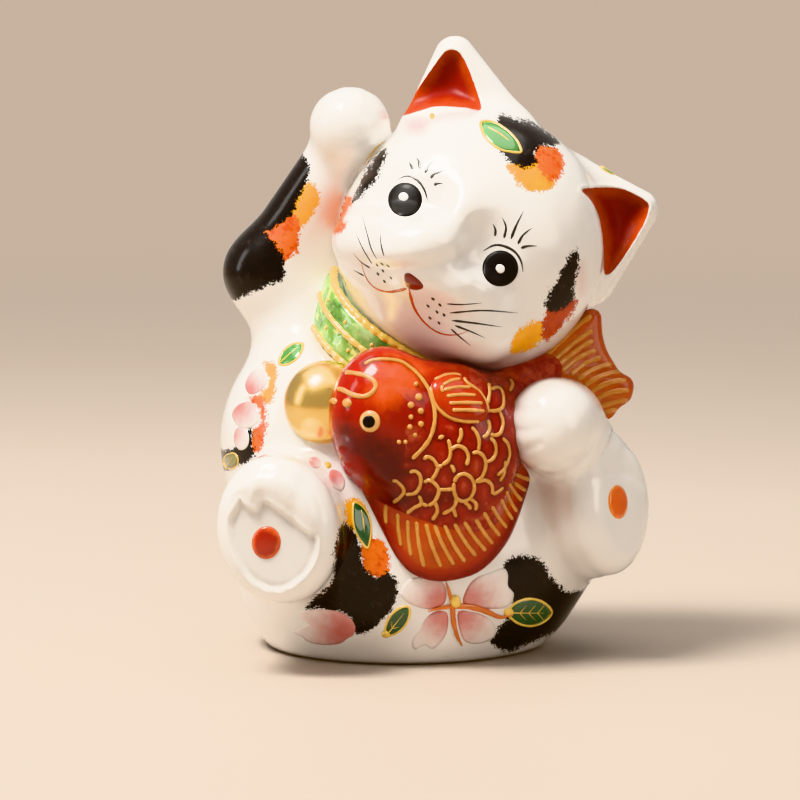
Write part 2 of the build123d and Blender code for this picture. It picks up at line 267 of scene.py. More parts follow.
# ------------------------------------------------------ torso, limbs, tail ---
def body_field(p):
    lower = ellipsoid(p, np.array([-0.6, 3.0, 18.0]), (33.6, 29.5, 30.0))
    upper = ellipsoid(p, np.array([-3.0, 6.0, 41.0]), (34.2, 27.5, 29.5))
    return join(lower, upper, 8.0)


def neck_field(p):
    return round_cone(p, at(0, 7, 6), at(8, 22, -2), 18.0, 16.0)


def torso_field(p):
    return join(body_field(p), neck_field(p), 3.0)


def right_arm_field(p):
    shoulder, elbow, wrist = at(-15.6, 9.6, 8), at(-26.4, 25.6, 5), at(-12.8, 47, 1)
    upper_arm = round_cone(p, shoulder, elbow, 11.0, 7.9)
    field = join(upper_arm, round_cone(p, elbow, wrist, 7.7, 6.8), 5.0)
    field = join(field, ellipsoid(p, at(-10, 54.8, -5), (8.0, 8.6, 7.8)), 4.0)
    return join(field, round_cone(p, at(-18, 20, 8), at(-14, 37, 6), 8.0, 5.5), 6.0)


def left_arm_field(p):
    arm = round_cone(p, at(34.8, -6.4, 14), at(32, -4.8, -12.0), 7.5, 9.0)
    return join(arm, ellipsoid(p, at(30.4, -5.2, -19.0), (8.7, 9.3, 9.2)), 4.0)


def foot_field(p, centre, normal, half_width, half_height, half_depth, edge_radius, upward):
    """Elliptical slab with rounded edges, facing along its normal."""
    up = unit(upward - (upward @ normal) * normal)
    local = (p - centre) @ np.stack([np.cross(up, normal), normal, up], 1)
    across, height = local[:, 0], local[:, 2]
    scaled = np.sqrt((across / half_width) ** 2 + (height / half_height) ** 2)
    slope = np.sqrt((across / half_width ** 2) ** 2 + (height / half_height ** 2) ** 2)
    rim = scaled * (scaled - 1) / np.maximum(slope, 1e-6)
    return rounded(rim, np.abs(local[:, 1]) - half_depth, edge_radius)


RIGHT_FOOT = dict(
    centre=at(-23.8, -25.6, -25.0),
    normal=unit(-FRONT.away - FRONT.right * 0.14 - FRONT.up * 0.10),
    half_width=12.0, half_height=14.5, half_depth=8.0, edge_radius=5.5,
    upward=unit(FRONT.up - 0.12 * FRONT.right))
LEFT_FOOT_TURN = radians(50)
LEFT_FOOT = dict(
    centre=at(40, -20.8, -9.0),
    normal=unit(-FRONT.away * cos(LEFT_FOOT_TURN) + FRONT.right * sin(LEFT_FOOT_TURN)
                + FRONT.up * 0.08),
    half_width=11.0, half_height=14.2, half_depth=6.0, edge_radius=5.0,
    upward=unit(FRONT.up + 0.05 * FRONT.right))


def right_leg_field(p):
    leg = round_cone(p, at(-21.6, -25.2, -16), at(-9.6, -30.4, 2), 11.6, 18.0)
    return join(leg, foot_field(p, **RIGHT_FOOT), 5.0)


def left_leg_field(p):
    leg = round_cone(p, at(36.4, -21.6, -3), at(20, -32, 4), 10.5, 17.0)
    return join(leg, foot_field(p, **LEFT_FOOT), 5.0)


def tail_field(p):
    stub = round_cone(p, np.array([-8.0, 30.0, 9.5]), np.array([3.0, 33.0, 14.0]), 7.0, 6.2)
    return join(stub, sphere(p, np.array([5.5, 33.4, 15.5]), 6.3), 2.0)


# ---------------------------------------------------------- collar and bell ---
NECK_CENTRE = at(1.2, 12.4, 4)
NECK_AXIS = unit(at(12.4, 32.4, -6) - NECK_CENTRE)
COLLAR_CENTRE = NECK_CENTRE + 0.5 * FRONT.right + 0.8 * NECK_AXIS


def collar_coordinates(p):
    """Offset from the collar centre, height along the neck and radius about it."""
    offset = p - COLLAR_CENTRE
    height = offset @ NECK_AXIS
    radius = np.sqrt(np.maximum((offset * offset).sum(-1) - height * height, 0))
    return offset, height, radius


def collar_field(p):
    _, height, radius = collar_coordinates(p)
    return rounded(np.abs(radius - 18.8) - 1.8, np.abs(height) - 4.9, 1.5)


def collar_seat_field(p):
    """Room around the collar, taken out of the body so the whole band shows."""
    offset, height, radius = collar_coordinates(p)
    ring = meet(np.abs(height - 0.6) - 6.0, radius - 25.0, 2.0)
    return meet(ring, offset @ unit([0.75, 0.66, 0.0]) - 3.0, 5.0)


def bell_field(p):
    return sphere(p, at(-14.6, -0.7, -15.5), 8.5)


# ------------------------------------------------------------- white pieces ---
TORSO, HEAD, EAR_R, EAR_L, ARM_R, ARM_L, LEG_R, LEG_L, TAIL = range(9)
WHITE_PIECES = ["torso_shell", "head_shell", "right_ear", "left_ear", "raised_arm",
                "holding_arm", "right_leg", "left_leg", "tail"]
PIECE_FIELDS = [torso_field, head_field, right_ear_field, left_ear_field, right_arm_field,
                left_arm_field, right_leg_field, left_leg_field, tail_field]
EAR_BIAS = {EAR_R: 0.4, EAR_L: 0.4}        # moves the ear seams down into the head


def white_field(p):
    field = meet(body_field(p), -collar_seat_field(p), 2.5)
    field = join(field, neck_field(p), 3.0)
    for limb, fillet in ((right_leg_field, 6.0), (left_leg_field, 6.0), (right_arm_field, 6.0),
                         (left_arm_field, 5.0), (tail_field, 3.5)):
        field = join(field, limb(p), fillet)
    head = join(join(head_field(p), right_ear_field(p), 5.0), left_ear_field(p), 5.0)
    field = join(field, head, 1.5)
    field = meet(field, -p[:, 2], 1.5)
    # pour hole through the underside, 9 mm deep
    hole = np.sqrt((p[:, 0] + 2.0) ** 2 + (p[:, 1] - 15.0) ** 2) - 5.0
    return meet(field, -np.maximum(hole, p[:, 2] - 9.0), 0.8)


# --------------------------------------------------------------------- fish ---
def fish_body_field(p):
    head = ellipsoid(p, at(-3.4, -3.4, -22.5), (10.6, 10.8, 13.8))
    middle = ellipsoid(p, at(9.6, -10.2, -20.0), (13.6, 11.0, 17.4))
    field = join(head, middle, 6.0)
    return join(field, round_cone(p, at(14, -5.6, -15), at(29, 5.8, -8), 9.0, 3.6), 6.0)


FRILL_OUTLINE = spline(xy("""
    -11.2,-13.2 -7.8,-18 -5.6,-22.2 -3.2,-27 -0.4,-32 2.8,-35 7.6,-36.3 12.8,-35.6
    17,-33.6 21.2,-28.9 24,-23 26.6,-15.2 26.6,-11 20,-3 4,-3 -6.8,-7"""), 4, closed=True)


def frill_field(p):
    """Fin lying on the torso below the fish, thicker away from its edge."""
    x, y, depth = FRONT.project(p)
    edge = outline_distance(x, y, FRILL_OUTLINE)
    thickness = 1.5 + 3.4 * ease(0.0, 10.0, -edge)
    return meet(meet(torso_field(p) - thickness, edge, 1.3), depth + 8.0, 1.0)


def fish_tail_field(p):
    root = at(27, 5.4, -8)
    first = triangle(p, root, at(38.4, 16.4, -4), at(38.8, 9.6, -4)) - 1.9
    second = triangle(p, root, at(38.4, 11, -4), at(44.4, 1.2, -4)) - 1.9
    third = triangle(p, at(29, 5.4, -8), at(41.2, -2, -4), at(44.8, 3, -4)) - 1.9
    return join(join(first, second, 1.5), third, 1.5)


# ----------------------------------------------------------- surface mesher ---
def gradient(field, p, reach=0.05):
    slopes = np.empty_like(p)
    for axis in range(3):
        shift = np.zeros(3)
        shift[axis] = reach
        slopes[:, axis] = (field(p + shift) - field(p - shift)) / (2 * reach)
    return slopes


def in_chunks(field, p, size=400000):
    if len(p) <= size:
        return field(p)
    return np.concatenate([field(p[i:i + size]) for i in range(0, len(p), size)])


def limited(step, limit):
    """Steps shortened to at most the limit."""
    return step * np.minimum(1, limit / np.maximum(length(step), 1e-9))[:, None]


def sample_band(field, low, high):
    """Field values at grid corners near the surface, and EMPTY everywhere else."""
    coarse = CELL * BAND_CELLS
    blocks = np.ceil((high - low) / coarse).astype(int)
    cells = np.stack(np.meshgrid(*[np.arange(k) for k in blocks], indexing="ij"), -1)
    cells = cells.reshape(-1, 3)
    centre_values = in_chunks(field, low + (cells + 0.5) * coarse)
    # 0.87 reaches a cell's corner; 1.7 allows for fields steeper than true distance
    cells = cells[np.abs(centre_values) < coarse * 0.87 * 1.7]
    shape = blocks * BAND_CELLS + 1
    values = np.full(shape, EMPTY, np.float32)
    inner = np.stack(np.meshgrid(*[np.arange(BAND_CELLS + 1)] * 3, indexing="ij"), -1)
    corners = (cells[:, None, :] * BAND_CELLS + inner.reshape(-1, 3)[None]).reshape(-1, 3)
    flat = np.unique(np.ravel_multi_index(corners.T, shape))
    corners = np.stack(np.unravel_index(flat, shape), 1)
    values.ravel()[flat] = in_chunks(field, low + corners * CELL)
    return values


EMPTY = 1e3
KNOWN = 900            # values below this have been sampled


def crossing_points(values, cells, corners):
    """Mean of the surface crossings on each cell's edges, in cells."""
    total = np.zeros((len(cells), 3))
    hits = np.zeros(len(cells))
    at_corner = {c: values[tuple((cells + c).T)] for c in corners}
    for corner in corners:
        for axis in range(3):
            if corner[axis]:
                continue
            other = list(corner)
            other[axis] = 1
            a, b = at_corner[corner].astype(float), at_corner[tuple(other)].astype(float)
            crossed = (a < 0) != (b < 0)
            place = np.array(corner, float)[None].repeat(len(cells), 0)
            place[:, axis] = np.where(crossed, a / np.where(crossed, a - b, 1), 0)
            total[crossed] += place[crossed]
            hits[crossed] += 1
    return cells + total / np.maximum(hits, 1)[:, None]


def crossing_quads(values, vertex, axis):
    """Quads around the crossed grid edges along one axis."""
    shape = values.shape
    u, v = (axis + 1) % 3, (axis + 2) % 3
    first = values[tuple(slice(0 if i == axis else 1, shape[i] - 1) for i in range(3))]
    second = values[tuple(slice(1, shape[i] if i == axis else shape[i] - 1)
                          for i in range(3))]
    crossed = ((first < 0) != (second < 0)) & (first < KNOWN) & (second < KNOWN)
    base = np.stack(np.nonzero(crossed), 1)
    base[:, u] += 1
    base[:, v] += 1
    step_u, step_v = np.eye(3, dtype=int)[[u, v]]
    quads = np.stack([vertex[tuple((base + offset).T)]
                      for offset in (-step_u - step_v, -step_v, 0 * step_u, -step_u)], 1)
    complete = (quads >= 0).all(1)
    if not complete.all():
        return quads[complete]      # the band ends here, and all quads keep one winding
    outward = first[crossed] < 0
    quads[~outward] = quads[~outward][:, ::-1]
    return quads


def mesh_field(field, low, high):
    """Quad mesh of the zero surface, with one point in each crossed cell."""
    low, high = np.array(low, float), np.array(high, float)
    values = sample_band(field, low, high)
    cell_shape = np.array(values.shape) - 1
    corners = [(i, j, k) for i in (0, 1) for j in (0, 1) for k in (0, 1)]
    negative = np.zeros(cell_shape, np.int8)
    known = np.ones(cell_shape, bool)
    for corner in corners:
        block = values[tuple(slice(c, n + c) for c, n in zip(corner, cell_shape))]
        negative += (block < 0)
        known &= (block < KNOWN)
    active = known & (negative > 0) & (negative < 8)
    cells = np.stack(np.nonzero(active), 1)
    vertex = np.full(cell_shape, -1, np.int32)
    vertex[active] = np.arange(len(cells))
    points = low + crossing_points(values, cells, corners) * CELL
    quads = np.concatenate([crossing_quads(values, vertex, axis) for axis in range(3)])
    for _ in range(2):              # draw the points onto the surface
        value = in_chunks(field, points)
        slope = gradient(lambda q: in_chunks(field, q), points)
        step = (value / np.maximum((slope * slope).sum(-1), 0.05))[:, None] * slope
        points = points - limited(step, 0.6 * CELL)
    return points, quads


def vertex_normals(points, quads):
    face_normals = np.cross(points[quads[:, 2]] - points[quads[:, 0]],
                            points[quads[:, 3]] - points[quads[:, 1]])
    normals = np.zeros_like(points)
    for i in range(4):
        np.add.at(normals, quads[:, i], face_normals)
    return normals / np.maximum(length(normals), 1e-12)[:, None]


def make_mesh(name, points, faces, material, normals=None, attributes=None, smooth=True):
    """Mesh object in metres from points in millimetres."""
    mesh = bpy.data.meshes.new(name)
    mesh.from_pydata((np.asarray(points, float) * METRES).tolist(), [], faces)
    mesh.validate()
    mesh.polygons.foreach_set("use_smooth", [smooth] * len(mesh.polygons))
    for key, values in (attributes or {}).items():
        add_attribute(mesh, key, values)
    if normals is not None:
        mesh.normals_split_custom_set_from_vertices(np.asarray(normals, float).tolist())
    ob = bpy.data.objects.new(name, mesh)
    bpy.context.scene.collection.objects.link(ob)
    mesh.materials.append(material)
    return ob


def add_attribute(mesh, name, values):
    attribute = mesh.attributes.new(name, "FLOAT", "POINT")
    attribute.data.foreach_set("value", np.asarray(values, np.float32))


# -------------------------------------------------------------- white skin ---
class Skin:
    """The whole white surface, before it is cut into pieces."""

    def __init__(self, field, low, high):
        self.points, self.quads = mesh_field(field, low, high)
        ends = np.concatenate([self.quads[:, [i, (i + 1) % 4]] for i in range(4)])
        ends = np.sort(ends, 1)
        faces = np.tile(np.arange(len(self.quads)), 4)
        order = np.lexsort((ends[:, 1], ends[:, 0]))
        # the surface is closed, so each edge comes twice, once for each of its faces
        self.edges = ends[order][0::2]
        self.face_a, self.face_b = faces[order][0::2], faces[order][1::2]

    def find_normals(self):
        self.normals = vertex_normals(self.points, self.quads)

    def push(self, depth):
        """Move the surface inward."""
        self.points = self.points - self.normals * depth[:, None]

    def relax(self, weight, rounds):
        """Even out the surface where the weight is above zero."""
        a, b = self.edges.T
        total = len(self.points)
        valence = np.bincount(a, minlength=total) + np.bincount(b, minlength=total)
        for _ in range(rounds):
            p = self.points
            sums = np.stack([np.bincount(a, p[b, k], total) + np.bincount(b, p[a, k], total)
                             for k in range(3)], 1)
            self.points = p + (weight * 0.6)[:, None] * (sums / valence[:, None] - p)


SMALLEST_ISLAND = 400       # faces; a smaller patch goes to the piece around it


def face_islands(labels):
    """Lowest face number of each face's connected patch of one label."""
    same = labels[skin.face_a] == labels[skin.face_b]
    a, b = skin.face_a[same], skin.face_b[same]
    root = np.arange(len(labels))
    while True:
        lowest = np.minimum(root[a], root[b])
        merged = root.copy()
        np.minimum.at(merged, a, lowest)
        np.minimum.at(merged, b, lowest)
        merged = merged[merged]
        merged = merged[merged]
        if (merged == root).all():
            return root
        root = merged


def absorb_islands(labels):
    for _ in range(4):
        root = face_islands(labels)
        ids, sizes = np.unique(root, return_counts=True)
        small = ids[sizes < SMALLEST_ISLAND]
        if not len(small):
            break
        stray = np.isin(root, small)
        for inner, outer in ((skin.face_a, skin.face_b), (skin.face_b, skin.face_a)):
            border = stray[inner] & ~stray[outer]
            takes = {int(root[i]): int(labels[j])
                     for i, j in zip(inner[border], outer[border])}
            for island, label in takes.items():
                labels[root == island] = label


def smooth_seams(labels):
    """Slide the seam points along the skin to where the two pieces' fields are equal."""
    pairs = np.stack([labels[skin.face_a], labels[skin.face_b]], 1)
    on_seam = pairs[:, 0] != pairs[:, 1]
    seam_edges, pairs = skin.edges[on_seam], pairs[on_seam]
    for a, b in {tuple(sorted(pair)) for pair in pairs.tolist()}:
        chosen = (pairs == [a, b]).all(1) | (pairs == [b, a]).all(1)
        ids = np.unique(seam_edges[chosen])
        bias = EAR_BIAS.get(a, 0) - EAR_BIAS.get(b, 0)

        def difference(p):
            return PIECE_FIELDS[a](p) - PIECE_FIELDS[b](p) - bias

        for _ in range(3):
            p = skin.points[ids]
            slope, normal = gradient(difference, p), gradient(white_field, p)
            normal /= length(normal)[:, None]
            slope -= (slope * normal).sum(-1)[:, None] * normal
            step = difference(p) / np.maximum((slope * slope).sum(-1), 0.2)
            skin.points[ids] = p - limited(step[:, None] * slope, 0.25 * CELL)


skin = Skin(white_field, (-46, -40, -2), (52, 43, 125))
piece_distance = np.stack([in_chunks(field, skin.points) for field in PIECE_FIELDS], 1)
for _ear, _bias in EAR_BIAS.items():
    piece_distance[:, _ear] -= _bias
face_piece = piece_distance[skin.quads].mean(1).argmin(1)
absorb_islands(face_piece)
smooth_seams(face_piece)
skin.find_normals()

# the skin as seen from the front before the relief is worked into it
seen_x, seen_y, seen_depth = FRONT.project(skin.points)
facing = -(skin.normals @ FRONT.away)
point_piece = piece_distance.argmin(1)

# ------------------------------------------------------------------- relief ---
FAR_RELIEF = 9.0            # stands for "nowhere near" in the relief distances

TOE_EDGE = """-18.4,-26.4 -21.2,-24.2 -24.8,-21.4 -27.4,-20.1 -28.8,-21.8 -30.8,-21.1
    -32,-19.8 -33,-21.6 """
RIGHT_SOLE = spline(xy("""
    -34.4,-26.4 -33.4,-30.4 -31,-35 -28.2,-37.4 -24.8,-38.3 -21.8,-37.4 -18.4,-34.6
    -16.6,-30.6 -16.6,-26.8 """ + TOE_EDGE + "-34.2,-23.6"), 6, closed=True)
RIGHT_TOES = spline(xy("""
    -36,-22.4 -34.6,-18 -31.2,-14.8 -26.8,-13.4 -22,-14.4 -18,-17.4 -15.6,-22
    -15.6,-26.4 """ + TOE_EDGE + "-34.2,-24"), 6, closed=True)
RIGHT_BOWL = spline(xy("""
    0.3,56.8 4,57.84 7.4,58.72 12.8,58.48 15.7,57.96 16.2,58.9 14.8,63.4 13.1,67.6
    11.8,69.5 10.5,70.1 9,69.6 7.8,68.2 3.8,62.6 0.9,57.7"""), 6, closed=True)
LEFT_BOWL = spline(xy("""
    36.4,42.1 40.2,42.48 44.2,42.2 47.4,40.9 49.5,39.4 49.8,38.4 49,35.7 46.7,31.6
    44.1,27.7 42.2,25.4 41.1,25.1 40.8,26.4 40.72,30 40.4,33.6 39.6,37.2 38.1,40"""),
    6, closed=True)
LEFT_EAR_FOLD = xy("33.2,51.6 36,47 38.8,42")

# piece, visible points, groove depth, groove width, lines
GROOVES = [
    (LEG_R, seen_depth < -8, 0.24, 1.3,       # over the top of the right toes
     ["-27.6,-20.6 -27.2,-17 -26.4,-14", "-21.8,-24.2 -20.6,-20 -19.4,-16.4"]),
    (LEG_L, facing > -0.2, 0.50, 1.5,         # between the left toes
     ["38,-7.2 36.8,-11.2 37.2,-14.8", "42.4,-6.6 41.4,-10 41.8,-13.6",
      "46,-8 45.2,-11.2 45.6,-14"]),
    (LEG_L, facing > 0.25, 0.22, 0.8,         # across the top of the left sole
     ["39.4,-16 42.4,-14.8 46,-14.8 48.4,-16.4"]),
    (ARM_R, facing > -0.3, 0.14, 1.3,         # fingers of the raised paw
     ["-13,62.4 -13.4,60 -13.2,57.6", "-9.6,63 -10,60.4 -9.8,57.6",
      "-6.2,62 -6.6,59.6 -6.6,57.2"]),
    (ARM_L, facing > -0.3, 0.25, 0.9,         # fingers of the holding paw
     ["22.4,-1.6 24.8,-2 27.2,-1.6", "22.4,-6 25,-6.2 27.6,-5.6",
      "23.2,-10 25.6,-9.8 27.8,-8.8"]),
]


def shape_right_sole():
    """Sink the sole within a raised rim and swell the toes. Returns the sole distance."""
    on_foot = (facing > 0.25) & (point_piece == LEG_R) & (seen_depth < -20)
    sole = outline_distance(seen_x, seen_y, RIGHT_SOLE)
    rim = 0.46 * np.exp(-((sole - 0.02) / 0.38) ** 2)
    skin.push(np.where(on_foot, 0.80 * ease(0.45, -0.60, sole) - rim, 0))
    toes = outline_distance(seen_x, seen_y, RIGHT_TOES)
    skin.push(np.where(on_foot, -0.85 * ease(0.2, -3.2, toes), 0))
    return np.where(on_foot, sole, FAR_RELIEF)


def shape_face():
    def radius(x, y, half_width, half_height):
        return np.sqrt(((seen_x - x) / half_width) ** 2 + ((seen_y - y) / half_height) ** 2)

    snout_y = 32.0
    below_above = np.where(seen_y < snout_y, 5.0, 6.4)
    snout = 2.3 * ease(1.24, 0.42, radius(-0.4, snout_y, 13.2, below_above))
    cheek = 1.3 * ease(1.2, 0.3, radius(14, 21.8, 6, 5))
    chin = -0.35 * ease(1.2, 0.2, radius(6.4, 16.4, 8, 5.2))
    on_face = (point_piece == HEAD) & (facing > 0.0) & (seen_depth < -8)
    skin.push(np.where(on_face, -(snout + cheek + chin), 0))


def shape_ears():
    """Even the left ear's fold and hollow both ears. Returns the bowl distance."""
    fold = line_distance(seen_x, seen_y, LEFT_EAR_FOLD)
    near = (facing > -0.6) & (seen_depth < 16)
    skin.relax(np.where(near, ease(3.2, 0.6, fold), 0), 36)
    bowl = np.full(len(seen_x), FAR_RELIEF)
    for outline, ear, deepest in ((RIGHT_BOWL, EAR_R, 12), (LEFT_BOWL, EAR_L, 14)):
        on_ear = (seen_depth < deepest) & np.isin(point_piece, (HEAD, ear))
        edge = outline_distance(seen_x, seen_y, outline)
        bowl = np.minimum(bowl, np.where(on_ear, edge, FAR_RELIEF))
    bowl = np.where(facing > -0.2, bowl, FAR_RELIEF)
    hollow = np.where(bowl < 0, 4.3 * (1 - np.exp(bowl / 1.9)), 0)
    lip = 0.28 * np.exp(-((bowl - 0.35) / 0.45) ** 2)
    skin.points = skin.points + (hollow - lip)[:, None] * FRONT.away
    skin.relax(ease(-0.5, -1.3, bowl), 40)
    return bowl


sole_distance = shape_right_sole()
shape_face()
bowl_distance = shape_ears()
skin.find_normals()
for _piece, _visible, _depth, _width, _lines in GROOVES:
    for _line in _lines:
        _near = line_distance(seen_x, seen_y, spline(xy(_line), 6))
        _cut = _depth * np.exp(-(_near / _width) ** 2)
        skin.push(np.where((point_piece == _piece) & _visible, _cut, 0))
skin.find_normals()

# ------------------------------------------------- distances to the paint ---
FAR_PAINT = 6.0             # the paint distances are held within this
HEADS = (HEAD, EAR_R, EAR_L)
LOWER = (TORSO, LEG_R, LEG_L)
REAR = (TORSO, TAIL)
paint = {colour: np.full(len(skin.points), FAR_PAINT)
         for colour in ("black", "orange", "yellow", "red", "pink", "ear")}


def add_paint(colour, distance):
    distance = np.clip(distance, -FAR_PAINT, FAR_PAINT)
    paint[colour] = np.minimum(paint[colour], distance)


def patch(colour, pieces, outline, deepest=99.0, view=FRONT, facing_over=-0.15):
    """Patch with an outline on a view, down to a depth, where the skin faces the view."""
    x, y, depth = view.project(skin.points)
    edge = outline_distance(x, y, spline(xy(outline), 5, closed=True))
    edge = meet(edge, depth - deepest, 2.0)
    turned = -(skin.normals @ view.away) > facing_over
    add_paint(colour, np.where(np.isin(point_piece, pieces) & turned, edge, FAR_PAINT))


def black_ball(pieces, centre, radii):
    edge = ellipsoid(skin.points, centre, radii)
    add_paint("black", np.where(np.isin(point_piece, pieces), edge, FAR_PAINT))


def paint_head():
    patch("black", HEADS, """20,57.2 22.8,56.2 26.6,55.6 29.2,54 31.2,52.2 31.4,50.8 28.2,50.6
        27,48.8 27.2,47.4 25,46.4 22,47.6 20,50 19.6,54""")
    patch("orange", HEADS, """26.8,51.4 29.2,51 31.6,50 32.6,47.2 32.2,44.6 30,43.6 28.6,45.6
        26.8,48""")
    patch("yellow", HEADS, """21.2,46.8 24,48 26.8,48.8 29.6,46.4 31.4,44 29.4,42 26.4,41.6
        23.6,43.2 22.4,45.2""")
    patch("black", HEADS, "-3.2,50.4 -6.8,46 -9.6,40 -8.4,40 -6.2,42.2 -3.8,45.6 -2.8,48.4",
          deepest=14, facing_over=-0.9)
    black_ball(HEADS, at(-9.6, 45.6, 6), (6.5, 9, 7.5))
    patch("orange", HEADS, "-9.4,40.4 -11,37.2 -11.6,33.6 -15,33.6 -15,40.2",
          deepest=14, facing_over=-0.9)
    patch("black", HEADS, """35.6,30 34.2,29.2 32.4,25.8 31.2,23.4 30,21.6 29.4,18.8 31.2,17.8
        34.2,19.8 34.8,23.2 35.8,27.2""")
    patch("red", (HEAD,), """29.8,18.6 33,19.8 35.6,19.8 34,16.6 31.6,13.8 29.2,11.6
        28.2,14.6""", deepest=6, facing_over=-0.9)
    patch("yellow", HEADS, "21.8,10.8 24,14 28.2,16 29.2,12.8 26,10.2 22.4,9.2")
    patch("pink", HEADS, "35.2,27.6 37.2,27.6 37.8,24 37,20.8 35.4,21.2")
    patch("pink", HEADS, "0.8,55.8 3.6,57 6,55.6 4.8,53.2 1.6,53.2")
    add_paint("ear", bowl_distance)


def paint_lower_body():
    patch("black", LOWER, """-11.6,-24.8 -9.2,-26.2 -7.8,-29.4 -7.2,-33.2 -4.8,-35.6 -2,-34.6
        -0.4,-37.4 -1,-40.4 -3.4,-43.8 -5.6,-45.8 -8.6,-46.8 -10.4,-43.4 -14.8,-42.2
        -18.8,-41.8 -17,-39.4 -14,-37 -13.2,-34 -12.8,-29.4""")
    patch("orange", LOWER, """-7.8,-29.2 -5,-27.4 -3.2,-28.6 -2.2,-31.8 -2.6,-35.2 -5.6,-35.4
        -7.6,-33.4""")
    patch("yellow", LOWER, "-11,-20.6 -8.6,-19.8 -7,-22.4 -8.4,-26 -10.4,-25.6")
    patch("black", LOWER, """21.2,-32.4 25.4,-31.2 28.4,-32 30.2,-35 33,-38.2 38,-38.4 40.8,-40
        38,-44 32.8,-46 28.2,-47.6 23.6,-49.8 19.6,-49.8 18.4,-47.6 20.2,-45.2 22,-42.6
        22.4,-39.6 20.6,-36.8""", deepest=6, facing_over=-0.9)
    black_ball(LOWER, at(37.6, -42, 6), (7.5, 11, 5.5))
    patch("black", (TORSO,), """-33.6,-9.6 -32,-8 -30,-5.6 -29.4,-6.4 -29.6,-9.2 -29.2,-11.2
        -30.4,-12.8 -32.4,-13.2 -36,-14 -36.8,-10.4""", deepest=8, facing_over=-0.9)
    patch("yellow", (TORSO, ARM_R), """-27.4,7.8 -25.6,7.2 -24.6,6.4 -25,3.8 -25,1.4 -26.4,-1
        -28.4,-0.4 -29.6,0.2 -27.6,1.8 -26.2,3.6 -26.4,5.6""")
    patch("orange", (TORSO,), """-30,0.2 -28,0.8 -26.6,-1 -26.6,-4.2 -27.2,-8 -28.4,-10.4
        -29.8,-9.8 -29.6,-6 -28.2,-4.8 -28.2,-2.6""")


def paint_raised_arm():
    pieces = (ARM_R, TORSO)
    patch("black", pieces, """-19.8,49.6 -18.2,46 -18.8,42.6 -20.2,39.8 -22.4,36.6 -25,34.4
        -26.8,33.6 -24.8,31.2 -23.2,27.6 -24,24.2 -27.6,22.4 -30.8,21 -33.6,19.8 -36.4,19
        -37.6,26 -35.6,33.6 -32,40 -27.6,45.6 -23.2,50""", deepest=12, facing_over=-0.95)
    black_ball(pieces, at(-30, 27.6, 8), (6.0, 8.0, 8.0))
    patch("orange", pieces, """-28.8,34.8 -27.2,36.2 -24,35.8 -22,37 -20.4,36 -19.8,33.6
        -20.4,30.4 -22.4,27.8 -24.6,28.8 -27.2,31.6""")
    patch("yellow", pieces, """-18.8,43.8 -16.8,42.4 -16.4,39.8 -17.6,37.2 -19.4,34.6
        -21.8,34.6 -24.2,36 -23,38.8 -20.8,41.8""")


# colour, pieces, depth limit, outline on the view from behind
BACK_PATCHES = [
    ("black", REAR, 2, "-20,-24 -14,-20 -7,-21 -1.6,-26 -0.4,-33 -4,-40 -10,-42.4 -16.4,-40 "
                       "-20,-34"),
    ("orange", REAR, 2, "-5.6,-21 -0.8,-18.4 4,-21 5.6,-27 2.8,-31.2 -0.8,-32 -3.2,-25.6"),
    ("black", (TORSO,), 4, "14,4 20,5.6 26.4,2 28,-5 24.4,-10.4 18.4,-11.6 13.6,-7.2 12,-1"),
    ("orange", (TORSO,), 2, "10.4,-6 15.2,-9.2 17.6,-14 15.6,-18.4 11.2,-18.4 8,-14 8,-9.2"),
    ("black", HEADS, 6, "-23,50 -16,53.6 -9.6,50.8 -7.6,44 -11.2,37.2 -17.6,35.6 -22.8,40 "
                        "-24.4,45.6"),
    ("orange", HEADS, 6, "-14,37.6 -8.8,40.4 -4,38.4 -2.4,32.8 -6.8,28.8 -12,30 -14.8,33.6"),
    ("black", (TAIL,), -20, "-10,-32 -3,-31.2 -1.6,-38 -8,-40"),
]

paint_head()
paint_lower_body()
paint_raised_arm()
for _colour, _pieces, _deepest, _outline in BACK_PATCHES:
    patch(_colour, _pieces, _outline, deepest=_deepest, view=BACK)
paint["foot"] = skin.points[:, 2]
# distance inside the sole outline, which carries the painted shade on the sole
paint["sole"] = np.clip(sole_distance, -FAR_PAINT, FAR_PAINT)
paint = {colour: distance.astype(np.float32) for colour, distance in paint.items()}


